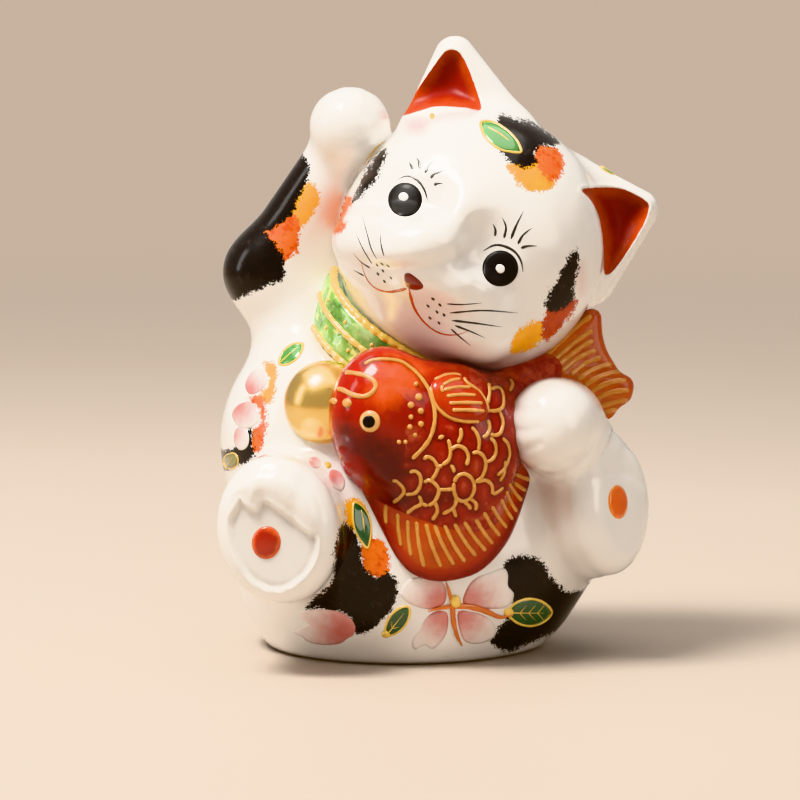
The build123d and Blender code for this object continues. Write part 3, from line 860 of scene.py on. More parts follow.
# ---------------------------------------------------------------- materials ---
class Shader:
    """Small builder for a node material around its Principled BSDF."""
    INPUTS = dict(color="Base Color", rough="Roughness", metal="Metallic", normal="Normal",
                  coat="Coat Weight", coat_rough="Coat Roughness", coat_normal="Coat Normal",
                  ior="IOR", spec="Specular IOR Level")

    def __init__(self, name):
        self.material = bpy.data.materials.new(name)
        self.material.use_nodes = True
        self.tree = self.material.node_tree
        self.bsdf = self.tree.nodes["Principled BSDF"]
        self.coords = self.add("ShaderNodeTexCoord").outputs["Object"]

    def add(self, kind):
        return self.tree.nodes.new(kind)

    def feed(self, socket, value):
        if isinstance(value, bpy.types.NodeSocket):
            self.tree.links.new(value, socket)
        elif isinstance(value, tuple):
            socket.default_value = (*value, 1)
        else:
            socket.default_value = value

    def math(self, operation, *values):
        node = self.add("ShaderNodeMath")
        node.operation = operation
        for i, value in enumerate(values):
            self.feed(node.inputs[i], value)
        return node.outputs[0]

    def attribute(self, name):
        node = self.add("ShaderNodeAttribute")
        node.attribute_name = name
        return node.outputs["Fac"]

    def noise(self, scale, detail=3.0, rough=0.5):
        node = self.add("ShaderNodeTexNoise")
        node.inputs["Scale"].default_value = scale
        node.inputs["Detail"].default_value = detail
        node.inputs["Roughness"].default_value = rough
        self.feed(node.inputs["Vector"], self.coords)
        return node.outputs["Fac"]

    def swing(self, noise, amount):
        """Noise centred on zero."""
        return self.math("MULTIPLY", self.math("SUBTRACT", noise, 0.5), amount)

    def wander(self, value, noise, amount):
        return self.math("ADD", value, self.swing(noise, amount))

    def mix(self, share, first, second):
        """Colour, from the first at share 0 to the second at share 1."""
        node = self.add("ShaderNodeMix")
        node.data_type = "RGBA"
        for i, value in ((0, share), (6, first), (7, second)):
            self.feed(node.inputs[i], value)
        return node.outputs[2]

    def blend(self, share, first, second):
        """Number, from the first at share 0 to the second at share 1."""
        node = self.add("ShaderNodeMix")
        node.data_type = "FLOAT"
        for i, value in ((0, share), (2, first), (3, second)):
            self.feed(node.inputs[i], value)
        return node.outputs[0]

    def rise(self, value, start, end):
        """0 below start, 1 above end, smooth between."""
        node = self.add("ShaderNodeMapRange")
        node.interpolation_type = "SMOOTHSTEP"
        self.feed(node.inputs[0], value)
        node.inputs[1].default_value = start
        node.inputs[2].default_value = end
        return node.outputs[0]

    def fall(self, value, start, end):
        return self.math("SUBTRACT", 1.0, self.rise(value, start, end))

    def bump(self, height, strength, distance, normal=None):
        node = self.add("ShaderNodeBump")
        node.inputs["Strength"].default_value = strength
        node.inputs["Distance"].default_value = distance
        self.feed(node.inputs["Height"], height)
        if normal is not None:
            self.feed(node.inputs["Normal"], normal)
        return node.outputs[0]

    def glaze_bump(self, amount=1.0):
        """Slow undulation and fine orange peel of a fired glaze."""
        slow = self.noise(scale=55.0, detail=2.0, rough=0.45)
        fine = self.noise(scale=420.0, detail=2.0)
        wave = self.bump(slow, strength=0.16 * amount, distance=0.004)
        return self.bump(fine, strength=0.05 * amount, distance=0.0006, normal=wave)

    def finish(self, **values):
        for key, value in values.items():
            self.feed(self.bsdf.inputs[self.INPUTS[key]], value)
        return self.material


def white_material():
    s = Shader("porcelain_white")
    color = s.mix(s.noise(scale=24.0, rough=0.55), (0.80, 0.775, 0.735), (0.87, 0.855, 0.83))
    flecks = s.rise(s.noise(scale=260.0, detail=4.0, rough=0.6), start=0.70, end=0.80)
    color = s.mix(flecks, color, (0.76, 0.72, 0.66))
    grain = s.noise(scale=2600.0, rough=0.65)
    middle = s.noise(scale=900.0, rough=0.62)
    lumps = s.noise(scale=210.0, detail=2.0)

    def dabbed(colour):
        """Paint mask whose outline wanders, breaks into specks and fades."""
        distance = s.attribute("p_" + colour)
        drift = s.wander(s.swing(grain, 3.0), middle, 2.2)
        drift = s.wander(drift, lumps, 1.5)
        return s.fall(s.math("ADD", distance, drift), start=-0.22, end=0.22)

    # painted shade: the sole is tinted greyer where it faces away from the light
    sole = s.fall(s.wander(s.attribute("p_sole"), middle, 0.6), start=-1.1, end=0.1)
    color = s.mix(s.math("MULTIPLY", sole, 0.6), color, (0.60, 0.575, 0.54))
    pink = s.fall(s.attribute("p_pink"), start=-2.2, end=0.9)
    color = s.mix(s.math("MULTIPLY", pink, 0.55), color, (0.72, 0.40, 0.38))
    yellow = s.mix(s.noise(scale=300.0, rough=0.6), (0.90, 0.32, 0.003), (0.95, 0.50, 0.014))
    color = s.mix(dabbed("yellow"), color, yellow)
    orange = s.mix(s.noise(scale=260.0, rough=0.6), (0.66, 0.075, 0.002), (0.86, 0.22, 0.006))
    mottle = s.rise(s.noise(scale=560.0, detail=4.0, rough=0.7), start=0.50, end=0.64)
    orange = s.mix(s.math("MULTIPLY", mottle, 0.65), orange, (0.44, 0.026, 0.0015))
    color = s.mix(dabbed("orange"), color, orange)
    red = s.mix(s.noise(scale=260.0, rough=0.6), (0.26, 0.008, 0.001), (0.66, 0.085, 0.003))
    color = s.mix(dabbed("red"), color, red)
    black = s.mix(s.noise(scale=320.0, detail=4.0, rough=0.65),
                  (0.0035, 0.0026, 0.0022), (0.013, 0.009, 0.0075))
    mottle = s.rise(s.noise(scale=650.0, detail=4.0, rough=0.7), start=0.54, end=0.70)
    black = s.mix(s.math("MULTIPLY", mottle, 0.7), black, (0.030, 0.023, 0.020))
    in_black = dabbed("black")
    color = s.mix(in_black, color, black)
    # red glaze in the ears, deep in the bowl and orange near the lip
    in_ear = s.fall(s.wander(s.attribute("p_ear"), middle, 0.3), start=-0.08, end=0.10)
    near_lip = s.wander(s.attribute("p_ear"), s.noise(scale=300.0, rough=0.6), 2.4)
    ear = s.mix(s.noise(scale=160.0, detail=2.0), (0.15, 0.002, 0.0006), (0.28, 0.009, 0.001))
    ear = s.mix(s.rise(near_lip, start=-2.6, end=0.1), ear, (0.40, 0.045, 0.002))
    color = s.mix(in_ear, color, ear)
    # unglazed foot
    bare = s.fall(s.wander(s.attribute("p_foot"), middle, 0.5), start=0.25, end=0.55)
    biscuit = s.mix(s.noise(scale=500.0, detail=4.0, rough=0.6),
                    (0.60, 0.50, 0.39), (0.70, 0.61, 0.50))
    color = s.mix(bare, color, biscuit)

    bright = s.math("MAXIMUM", dabbed("red"),
                    s.math("MAXIMUM", dabbed("orange"), dabbed("yellow")))
    normal = s.bump(s.math("MAXIMUM", in_black, bright), strength=0.10, distance=0.0002,
                    normal=s.glaze_bump())

    def by_area(value, areas):
        for mask, area_value in areas:
            value = s.blend(mask, value, area_value)
        return value

    # each list gives the value over one area, over those before it
    rough = by_area(0.22, [(in_black, 0.24), (bare, 0.75), (in_ear, 0.40)])
    coat = by_area(0.9, [(bare, 0.0), (bright, 0.35), (in_black, 0.30), (in_ear, 0.0)])
    spec = by_area(0.5, [(bright, 0.25), (in_black, 0.22), (in_ear, 0.15)])
    return s.finish(color=color, rough=rough, coat=coat, coat_rough=0.11, coat_normal=normal,
                    normal=normal, ior=1.5, spec=spec)


def fish_glaze(name, deep, middle, light):
    """Iron red glaze, dark where it pools along the slip lines and pinkish where thin in the
    scale cells; the lite tone turns it orange and the dark tone deepens it, and on the fish
    these are painted highlight and painted shade.
    """
    s = Shader(name)
    slow = s.noise(scale=70.0, detail=4.0, rough=0.6)
    fine = s.noise(scale=420.0, detail=4.0, rough=0.65)
    # the lite and dark tones set the colour with noise; on the fish they are painted highlight
    # and painted shade
    tone = s.wander(s.math("MULTIPLY", s.attribute("lite"), 0.75), slow, 1.5)
    tone = s.wander(tone, fine, 0.7)
    tone = s.math("SUBTRACT", tone, s.math("MULTIPLY", s.attribute("dark"), 0.8))
    color = s.mix(s.rise(tone, start=-0.75, end=0.05), deep, middle)
    color = s.mix(s.rise(tone, start=0.05, end=0.95), color, light)
    pool = s.fall(s.wander(s.attribute("line"), fine, 0.8), start=0.25, end=1.15)
    color = s.mix(s.math("MULTIPLY", pool, 0.65), color, deep)
    off_line = s.rise(s.attribute("line"), start=1.1, end=2.0)
    thin = s.math("MULTIPLY", off_line, s.attribute("cells"))
    thin = s.math("MULTIPLY", thin, s.rise(fine, start=0.42, end=0.66))
    color = s.mix(s.math("MULTIPLY", thin, 0.5), color, (0.66, 0.16, 0.09))
    normal = s.bump(slow, strength=0.20, distance=0.0012, normal=s.glaze_bump(1.2))
    return s.finish(color=color, rough=0.17, coat=0.38, coat_rough=0.03, normal=normal,
                    coat_normal=normal, spec=0.25)


def collar_glaze():
    s = Shader("collar_green")
    slow = s.noise(scale=110.0, detail=4.0, rough=0.65)
    fine = s.noise(scale=420.0, rough=0.6)
    color = s.mix(s.rise(slow, start=0.36, end=0.50), (0.030, 0.105, 0.010), (0.15, 0.30, 0.055))
    color = s.mix(s.rise(slow, start=0.50, end=0.62), color, (0.34, 0.47, 0.19))
    color = s.mix(s.rise(fine, start=0.56, end=0.70), color, (0.58, 0.60, 0.22))
    normal = s.bump(slow, strength=0.25, distance=0.0012, normal=s.glaze_bump(1.2))
    return s.finish(color=color, rough=0.14, coat=1.0, coat_rough=0.04, normal=normal,
                    coat_normal=normal)


def bell_gilt():
    s = Shader("bell_gilt")
    slow = s.noise(scale=60.0)
    color = s.mix(slow, (0.90, 0.55, 0.15), (0.98, 0.74, 0.30))
    worn = s.rise(s.noise(scale=700.0, detail=4.0, rough=0.6), start=0.62, end=0.80)
    color = s.mix(worn, color, (0.60, 0.28, 0.06))
    normal = s.bump(slow, strength=0.25, distance=0.0015, normal=s.glaze_bump())
    rough = s.blend(s.noise(scale=240.0, detail=2.0), 0.16, 0.30)
    return s.finish(color=color, rough=rough, metal=1.0, coat=0.3, normal=normal)


def gold_slip():
    s = Shader("slip_gold")
    color = s.mix(s.noise(scale=260.0, rough=0.6), (0.56, 0.24, 0.045), (0.80, 0.43, 0.125))
    specks = s.rise(s.noise(scale=900.0, rough=0.6), start=0.58, end=0.75)
    color = s.mix(specks, color, (0.84, 0.52, 0.20))
    rough = s.blend(s.noise(scale=300.0, detail=2.0), 0.24, 0.42)
    return s.finish(color=color, rough=rough, metal=0.25, coat=0.5, coat_rough=0.12,
                    normal=s.glaze_bump(1.6))


def enamel(name, low, high, rough=0.14, scale=220.0, metal=0.0, coat=0.9, fade=None, spec=0.5):
    """Glaze between two colours. Fade gives the start, end and colour toward the edge."""
    s = Shader(name)
    color = s.mix(s.noise(scale=scale, rough=0.6), low, high)
    if fade is not None:
        start, end, edge_color = fade
        reach = s.wander(s.attribute("fade"), s.noise(scale=500.0, rough=0.6), 0.5)
        color = s.mix(s.rise(reach, start, end), color, edge_color)
    return s.finish(color=color, rough=rough, metal=metal, coat=coat, coat_rough=0.05,
                    normal=s.glaze_bump(), spec=spec)


# ------------------------------------------------------------ white pieces ---
SKIRT = 0.7                 # depth of the hidden rim inside a piece's opening


def open_loops(faces):
    """Vertex loops around the openings of a piece."""
    ends = np.concatenate([faces[:, [i, (i + 1) % 4]] for i in range(4)])
    _, inverse, uses = np.unique(np.sort(ends, 1), axis=0, return_inverse=True,
                                 return_counts=True)
    following = {}
    for a, b in ends[uses[inverse.ravel()] == 1].tolist():
        following.setdefault(a, []).append(b)
    loops = []
    while following:
        start = current = next(iter(following))
        loop = [start]
        while True:
            after = following[current].pop()
            if not following[current]:
                del following[current]
            if after == start:
                break
            loop.append(after)
            current = after
        loops.append(loop)
    return loops


def fan_centre(rim, normal):
    """Centre whose spokes to the rim lie deepest within the form."""
    best, least = None, 1e9
    share = np.linspace(0.15, 1.0, 6)[:, None, None]
    for depth in (0.5, 2.0, 4.0, 7.0, 10.0):
        centre = rim.mean(0) - normal * depth
        spokes = (rim[None] * (1 - share) + centre[None, None] * share).reshape(-1, 3)
        shallow = int((white_field(spokes) > -0.15).sum())
        if shallow < least:
            best, least = centre, shallow
    return best


def white_piece(index, name):
    """One piece of the skin, closed inside by a skirt and a fan at each opening."""
    quads = skin.quads[face_piece == index]
    used = np.unique(quads)
    local = np.full(len(skin.points), -1, np.int64)
    local[used] = np.arange(len(used))
    quads = local[quads]
    points, normals = skin.points[used], skin.normals[used]
    caps, added = [], []
    for loop in open_loops(quads):
        rim = points[loop] - normals[loop] * SKIRT
        first = len(points) + len(added)
        centre = first + len(loop)
        added += list(rim)
        added.append(fan_centre(rim, unit(normals[loop].mean(0) + 1e-9)))
        for i in range(len(loop)):
            j = (i + 1) % len(loop)
            caps.append((loop[j], loop[i], first + i, first + j))
            caps.append((first + j, first + i, centre))
    extra = len(added)
    attributes = {"p_" + colour: np.concatenate([values[used], np.full(extra, FAR_PAINT)])
                  for colour, values in paint.items()}
    ob = make_mesh("white_" + name,
                   np.concatenate([points, np.array(added).reshape(-1, 3)]),
                   quads.tolist() + caps, white,
                   np.concatenate([normals, np.tile((0, 0, 1.0), (extra, 1))]), attributes)
    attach(ob, "root")
    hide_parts(name)


white = white_material()
for _index, _name in enumerate(WHITE_PIECES):
    white_piece(_index, _name)

# ------------------------------------------------------- fish, collar, bell ---
# open lines of the fish's scales, on the front view
SCALES = [xy(line) for line in """
12.1633,-5.5102 12.2449,-7.2245 11.5102,-8.6531
14.2857,-5.3878 15.2245,-6.4082 15.8776,-8.2449 15.6735,-10.1633
17.5510,-3.8776 17.9592,-5.3878 17.3878,-7.0204 16.4898,-7.4286
9.6327,-7.8367 10.1224,-9.8776 9.7959,-11.9184 8.4082,-13.0204
10.1224,-10 11.4286,-9.1837 12.8980,-9.6735 13.7143,-11.3061 13.2653,-13.1429
4.6122,-11.8776 5.6327,-11.3061 6.8571,-12.1224 7.6735,-13.4286 8.4898,-12.9388
7.6735,-13.4286 7.1020,-14.8980 6.2449,-16.0408
10.1224,-12.9388 10.7347,-13.7551 10.8163,-14.5714
10.8163,-16.5306 11.4286,-15.3061 12.8980,-14.7347 14.3673,-15.7143 14.8980,-17.6327 \
14.0816,-19.5510 12.6531,-20.2857 11.2653,-19.5510 10.7347,-17.8367 10.8163,-16.5306
4.7347,-16.5306 5.8367,-16 7.0612,-16.8163 7.7959,-18.1633 6.9388,-20.2857 5.6327,-21.1837
7.7959,-17.9184 9.2245,-17.9184 10.6122,-17.8367
6.9388,-20.2857 7.5102,-22 6.9388,-23.3469 6.3673,-24.0408
10.8163,-18.2449 11.2653,-19.8776 10.6122,-21.5918 8.4898,-22.8163
1.8776,-14.5714 2.9388,-14.1633 4,-15.0612 4.0816,-16.9388 3.0204,-18.6531 1.0612,-18.8980
-1.5510,-16.2857 -0.7347,-16.2041 0.8163,-18 0,-19.4694 -1.3878,-20.5306
3.7551,-19.0612 4.3265,-20.6939 2.7755,-21.5918 1.3061,-22.7347
4.3265,-20.7755 5.6327,-21.1837
10.6122,-21.5918 11.2653,-23.4694
14.0816,-19.7143 15.2653,-20.7755 15.1020,-22.1224
14.4082,-10.6939 15.6735,-10.4082 16.8980,-11.5102 17.1429,-13.3469 16.3265,-15.4694 \
15.0204,-16.4898
15.4286,-16.4898 17.0612,-16 18.3673,-17.0204 18.5306,-18.8980
17.9592,-7.5510 18.9388,-8.4490 19.1837,-10.4898 18.3673,-12 17.1429,-12.3673
20.4490,-7.5510 21.6327,-8.8571 21.8776,-11.3061 20.8163,-13.7551 19.4286,-15.0612
19.9184,-2.2449 20.6122,-4.3673 20.2041,-6.4082 19.1020,-7.0612 17.9592,-6.8163
17.7143,3.4694 17.9592,1.7551 17.5510,-0.7755
18.2041,2.1633 19.6735,2.5714 20.6122,1.3469 20.6531,-1.1020 19.5918,-2.0816 17.7959,-2.1633
21.0612,-12.1224 20.8571,-14.5714 19.9184,-16.2857
18.5306,-18.8980 19.6735,-18.3265 20.7347,-17.4286
12.7755,-20.3673 13.7959,-21.1020 14.1224,-21.9184
7.5918,-7.7143 8.8980,-7.1429
21.9592,4.2041 22.5714,3.3061 21.9592,1.7551""".strip().split("\n")]
GILL = xy("""-7.2,7.2 -5.4,8 -3,8.2 0,7.8 2,6.6 3.6,5.2 5,3.4 6,1.6 6.6,-0.6 7,-2.7 6.8,-5.2
    6,-7.6 4.6,-9.6 2.4,-11.8""")
# light spots: painted highlight on the lit tops of the fish, and lighter along its lower left
# edge; shade spots: painted shade on its lower side and left edge. Columns: weight, centre x and
# y, half width and half height
LIGHT_SPOTS = [(1.0, 0.4, 4.4, 5.2, 4), (0.55, -3, 0.4, 4, 2.8), (0.5, -8.6, -14, 2, 4),
               (0.35, -11, -10.4, 1.6, 2.4), (0.5, 14, 6.4, 8, 1.2), (0.6, 23, 5, 3.2, 4)]
SHADE_SPOTS = [(0.9, -5.6, -9.6, 5.2, 3.6), (0.8, -1, -14, 4.4, 3.2), (0.5, -11, -6, 2.4, 6),
              (0.5, 5, -20, 12, 2)]
NO_LINE = 9.0               # line distance where there is no slip line


def fish_tones(points, normals):
    """Distance to the slip lines, the areas of painted highlight and painted shade, and the area
    of the scales.
    """
    x, y, _ = FRONT.project(points)
    front = ease(0.1, 0.4, -(normals @ FRONT.away))
    nearest = np.full(len(points), NO_LINE)
    for line in SCALES + [GILL]:
        nearest = np.minimum(nearest, line_distance(x, y, spline(line, 4)))

    def spots(table):
        return sum(weight * np.exp(-(((x - spot_x) / half_width) ** 2
                                     + ((y - spot_y) / half_height) ** 2))
                   for weight, spot_x, spot_y, half_width, half_height in table)

    scaled = np.where((x > 1) & (y < -5) | (x > 14), 1.0, 0.0)
    return {"line": np.where(front > 0, nearest, NO_LINE), "lite": spots(LIGHT_SPOTS) * front,
            "dark": spots(SHADE_SPOTS) * front, "cells": scaled * front}


def frill_tones(points, normals):
    x, y, _ = FRONT.project(points)
    inward = -outline_distance(x, y, FRILL_OUTLINE)
    return {"line": np.full(len(x), NO_LINE), "lite": ease(1.2, 3.2, inward) * 0.75,
            "dark": 0.9 * (1 - ease(0.0, 2.6, inward)), "cells": np.zeros(len(x))}


def tail_tones(points, normals):
    total = len(points)
    return {"line": np.full(total, NO_LINE), "lite": np.full(total, 0.60),
            "dark": np.zeros(total), "cells": np.zeros(total)}


def fish_form_field(p):
    return join(fish_body_field(p), frill_field(p) + 0.5, 3.2)


def frill_form_field(p):
    return meet(frill_field(p), -fish_body_field(p) - 1.5, 0.6)


def tail_form_field(p):
    return meet(fish_tail_field(p), -fish_body_field(p) - 1.5, 0.6)


fin_glaze = {
    "fish": fish_glaze("fish_red", deep=(0.095, 0.002, 0.0006), middle=(0.30, 0.0085, 0.0012),
                       light=(0.72, 0.095, 0.003)),
    "fin": fish_glaze("fin_red", deep=(0.20, 0.006, 0.0015), middle=(0.36, 0.022, 0.003),
                      light=(0.52, 0.085, 0.009)),
    "tail": fish_glaze("fin_tail_red", deep=(0.24, 0.012, 0.002), middle=(0.40, 0.045, 0.005),
                       light=(0.56, 0.13, 0.014)),
}
surfaces = {}
trees = {"white": BVHTree.FromPolygons(skin.points.tolist(), skin.quads.tolist())}


def register(ob, node=None):
    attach(ob, "root")
    if node:
        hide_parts(node)


def form(name, field, low, high, material, node, tones=None):
    """Closed form meshed from its field between two corners."""
    points, quads = mesh_field(field, low, high)
    normals = vertex_normals(points, quads)
    attributes = tones(points, normals) if tones else None
    ob = make_mesh(name, points, quads.tolist(), material, normals, attributes)
    register(ob, node)
    surfaces[name] = points, quads
    trees[name] = BVHTree.FromPolygons(points.tolist(), quads.tolist())


collar_green, gilt = collar_glaze(), bell_gilt()
form("fish_form", fish_form_field, (-18, -38, 8), (34, 2, 68), fin_glaze["fish"],
     "fish_body", fish_tones)
form("fish_fin_frill", frill_form_field, (-14, -38, 8), (32, -6, 50), fin_glaze["fin"],
     "fish_dorsal_fin", frill_tones)
form("fish_fin_tail", tail_form_field, (20, -12, 42), (50, 3, 74), fin_glaze["tail"],
     "fish_tail_fin", tail_tones)
form("collar_ring", collar_field, (-28, -28, 40), (26, 32, 84), collar_green,
     "collar_band")
form("bell_ball", bell_field, (-26, -26, 40), (-5, -5, 62), gilt, "bell")


# ------------------------------------------------------ raised enamel tools ---
def cast(points, surface, view):
    """Points on a view carried to a surface: positions, normals and a hit mask."""
    positions = np.zeros((len(points), 3))
    normals = np.zeros((len(points), 3))
    hits = np.zeros(len(points), bool)
    for i, (x, y) in enumerate(points):
        found = trees[surface].ray_cast(Vector(view.eye), Vector(view.ray(x, y)))
        if found[0] is None:
            continue
        positions[i], normals[i] = found[0], found[1]
        if normals[i] @ view.away > 0:
            normals[i] = -normals[i]
        hits[i] = True
    return positions, normals, hits


def smooth_rows(rows, rounds):
    for _ in range(rounds):
        evened = rows.copy()
        evened[1:-1] = (rows[:-2] + 2 * rows[1:-1] + rows[2:]) / 4
        rows = evened
    return rows


class Build:
    """Collects closed parts into one mesh."""

    def __init__(self):
        self.points, self.faces, self.fades, self.total = [], [], [], 0

    def add(self, points, faces, fade=None):
        self.points.append(np.asarray(points, float))
        self.faces += [tuple(int(i) + self.total for i in face) for face in faces]
        self.fades.append(np.zeros(len(points)) if fade is None else fade)
        self.total += len(points)

    def done(self, name, material, slot, node=None):
        ob = make_mesh(name, np.concatenate(self.points), self.faces, material,
                       attributes={"fade": np.concatenate(self.fades)})
        register(ob, node)
        return ob


def tapered(taper, along, total, width, half, height):
    """Half widths and heights thinned toward the ends of a tube."""
    share = np.clip(along / total, 0, 1)
    if taper == "round":
        radius = min(width / 2.0, total / 2.2)
        inward = np.clip(np.minimum(along, total - along) / radius, 0, 1)
        factor = np.sqrt(np.maximum(1 - (1 - inward) ** 2, 0.0025))
        return half * factor, height * (0.25 + 0.75 * factor)
    if taper == "brush":            # swells in the middle, fine ends
        factor = 0.16 + 0.84 * np.sin(pi * share) ** 0.7
    else:                           # whisker: strong at the root, fine at the tip
        factor = np.minimum(1, 0.35 + 6 * share) * (1 - share) ** 0.6
        factor = np.maximum(factor, 0.12)
    return half * factor, height * (0.4 + 0.6 * factor)


def tube(build, path, normals, width, height, taper="round", sides=10, sink=0.25,
         closed=False, seed=0, waver=0.10):
    """Flattened tube along a line on a surface, slightly uneven in width and height."""
    rows = len(path)
    if closed:
        tangents = np.roll(path, -1, 0) - np.roll(path, 1, 0)
    else:
        tangents = np.gradient(path, axis=0)
    tangents /= np.maximum(length(tangents), 1e-9)[:, None]
    normals = normals - (normals * tangents).sum(-1)[:, None] * tangents
    normals /= np.maximum(length(normals), 1e-9)[:, None]
    sideways = np.cross(normals, tangents)
    along = np.concatenate([[0], np.cumsum(length(np.diff(path, axis=0)))])
    total = max(along[-1], 1e-6)
    phase = np.random.default_rng(seed + 11).uniform(0, 6.28, 3)
    ripple = np.sin(along * 1.9 + phase[0]) * 0.6 + np.sin(along * 4.3 + phase[1]) * 0.4
    half = width / 2.0 * (1 + waver * ripple)
    high = height * (1 + waver * np.sin(along * 2.7 + phase[2]))
    if not closed:
        half, high = tapered(taper, along, total, width, half, high)
    centres = path - normals * (sink * high)[:, None]
    angles = np.arange(sides) / sides * 2 * pi
    rings = (centres[:, None, :]
             + sideways[:, None, :] * (half[:, None, None] * np.cos(angles)[None, :, None])
             + normals[:, None, :] * (high[:, None, None] * np.sin(angles)[None, :, None]))
    points = rings.reshape(-1, 3)
    faces = []
    for i in range(rows if closed else rows - 1):
        near, far = i * sides, ((i + 1) % rows) * sides
        for j in range(sides):
            k = (j + 1) % sides
            faces.append((near + j, far + j, far + k, near + k))
    fade = np.repeat(along / total, sides)
    if not closed:
        start, end, last = len(points), len(points) + 1, (rows - 1) * sides
        points = np.concatenate([points, [centres[0] - tangents[0] * half[0] * 0.5],
                                 [centres[-1] + tangents[-1] * half[-1] * 0.5]])
        fade = np.concatenate([fade, [0, 1]])
        for j in range(sides):
            k = (j + 1) % sides
            faces.append((start, j, k))
            faces.append((end, last + k, last + j))
    build.add(points, faces, fade)


stroke_seeds = count(1)
LONGEST_GAP = 3.0           # a stroke breaks where its points jump farther than this


def stroke(build, points, surface, width, height, taper="round", step=0.32, view=FRONT,
           closed=False, sides=10, lift=0.0):
    """Raised line through points on a view."""
    curve = spline(xy(points) if isinstance(points, str) else points, 10, closed)
    if closed:
        curve = np.concatenate([curve, curve[:1]])
    along = np.concatenate([[0], np.cumsum(length(np.diff(curve, axis=0)))])
    samples = np.linspace(0, along[-1], max(4, int(along[-1] / step)), endpoint=not closed)
    flat = np.stack([np.interp(samples, along, curve[:, k]) for k in (0, 1)], 1)
    path, normals, hits = cast(flat, surface, view)
    seed = next(stroke_seeds)
    if hits.all() and closed:
        tube(build, path + normals * lift, normals, width, height, closed=True, seed=seed,
             sides=sides)
        return
    runs = [[]]
    for i in range(len(path)):
        run = runs[-1]
        if hits[i] and (not run or np.linalg.norm(path[i] - path[run[-1]]) < LONGEST_GAP):
            run.append(i)
        else:
            runs.append([i] if hits[i] else [])
    for run in runs:
        if len(run) > 3:
            tube(build, smooth_rows(path[run], 2) + normals[run] * lift,
                 smooth_rows(normals[run], 4), width, height, taper, seed=seed, sides=sides)


def lens(build, outline, surface, height, view=FRONT, dome=0.5, base=0.05, rings=7, seg=44,
         fade=None):
    """Closed lens of glaze over a star-shaped outline on a view.

    Fade runs 0 at the centre to 1 at the edge unless a function of the points is given.
    """
    curve = spline(xy(outline) if isinstance(outline, str) else outline, 8, closed=True)
    centre = curve.mean(0)
    angles = np.arctan2(curve[:, 1] - centre[1], curve[:, 0] - centre[0])
    order = np.argsort(angles)
    angles = angles[order]
    radii = length(curve - centre)[order]
    turns = pi - np.arange(seg) / seg * 2 * pi
    reach = np.interp(turns, np.concatenate([angles - 2 * pi, angles, angles + 2 * pi]),
                      np.tile(radii, 3))
    spokes = reach[:, None] * np.stack([np.cos(turns), np.sin(turns)], 1)
    flat = np.concatenate([centre[None]] + [centre + i / rings * spokes
                                            for i in range(1, rings + 1)])
    path, normals, hits = cast(flat, surface, view)
    if not hits[0]:
        return
    # points that miss or jump fall back onto the ring inside them
    for j in range(seg):
        for i in range(1, rings + 1):
            k = 1 + (i - 1) * seg + j
            inner = 0 if i == 1 else k - seg
            jump = np.linalg.norm(path[k] - path[inner])
            if not hits[k] or jump > 0.9 + 3.0 * reach[j] / rings:
                path[k], normals[k] = path[inner], normals[inner]
    share = np.concatenate([[0], np.repeat(np.arange(1, rings + 1) / rings, seg)])
    rise = base + height * (1 - share ** 2.2) ** dome
    rise[share >= 0.999] = base * 0.4
    under = len(path)
    faces = []
    for j in range(seg):
        k = (j + 1) % seg
        faces.append((0, 1 + k, 1 + j))
        faces.append((under, under + 1 + j, under + 1 + k))
        for i in range(rings - 1):
            a, b = 1 + i * seg, 1 + (i + 1) * seg
            faces.append((a + j, a + k, b + k, b + j))
            faces.append((under + a + k, under + a + j, under + b + j, under + b + k))
        rim = 1 + (rings - 1) * seg
        faces.append((rim + j, rim + k, under + rim + k, under + rim + j))
    values = share if fade is None else fade(flat)
    build.add(np.concatenate([path + normals * rise[:, None], path - normals * 0.22]), faces,
              np.concatenate([values, values]))


def disc(x, y, half_width, half_height=None, turn=0.0, points=28):
    """Ellipse outline, turned counterclockwise by degrees."""
    half_height = half_height or half_width
    t = np.arange(points) / points * 2 * pi
    across, upward = half_width * np.cos(t), half_height * np.sin(t)
    c, s = cos(radians(turn)), sin(radians(turn))
    return np.stack([x + across * c - upward * s, y + across * s + upward * c], 1)


gold = gold_slip()
gold_brown = enamel("slip_gold_brown", (0.46, 0.15, 0.018), (0.62, 0.26, 0.045), rough=0.3,
                    metal=0.15, coat=0.5)
gold_bright = enamel("slip_gold_bright", (0.80, 0.50, 0.08), (0.92, 0.66, 0.16), rough=0.25,
                     metal=0.2)
black_enamel = enamel("enamel_black", (0.004, 0.0035, 0.003), (0.013, 0.010, 0.009),
                      rough=0.50, coat=0.06, spec=0.18)
ink = enamel("enamel_ink", (0.012, 0.009, 0.006), (0.045, 0.033, 0.020), rough=0.35, coat=0.3)
spot_white = enamel("enamel_white", (0.80, 0.79, 0.76), (0.90, 0.89, 0.86), rough=0.18)
mouth_red = enamel("enamel_mouth", (0.42, 0.045, 0.012), (0.62, 0.10, 0.02), rough=0.22)
nose_red = enamel("enamel_nose", (0.12, 0.003, 0.001), (0.30, 0.012, 0.004), rough=0.30,
                  coat=0.35)
pad_red = enamel("enamel_red", (0.24, 0.006, 0.002), (0.46, 0.026, 0.005), rough=0.12,
                 scale=300.0, fade=(0.62, 1.05, (0.72, 0.12, 0.02)), spec=0.3)
pad_orange = enamel("enamel_orange", (0.62, 0.070, 0.003), (0.84, 0.17, 0.010), scale=260.0,
                    fade=(0.7, 1.05, (0.92, 0.28, 0.03)), spec=0.3)
leaf_green = enamel("leaf_green", (0.035, 0.14, 0.03), (0.07, 0.24, 0.055), rough=0.13,
                    fade=(0.05, 0.75, (0.055, 0.20, 0.04)))
leaf_dark = enamel("leaf_dark", (0.012, 0.055, 0.018), (0.035, 0.13, 0.035), rough=0.13)
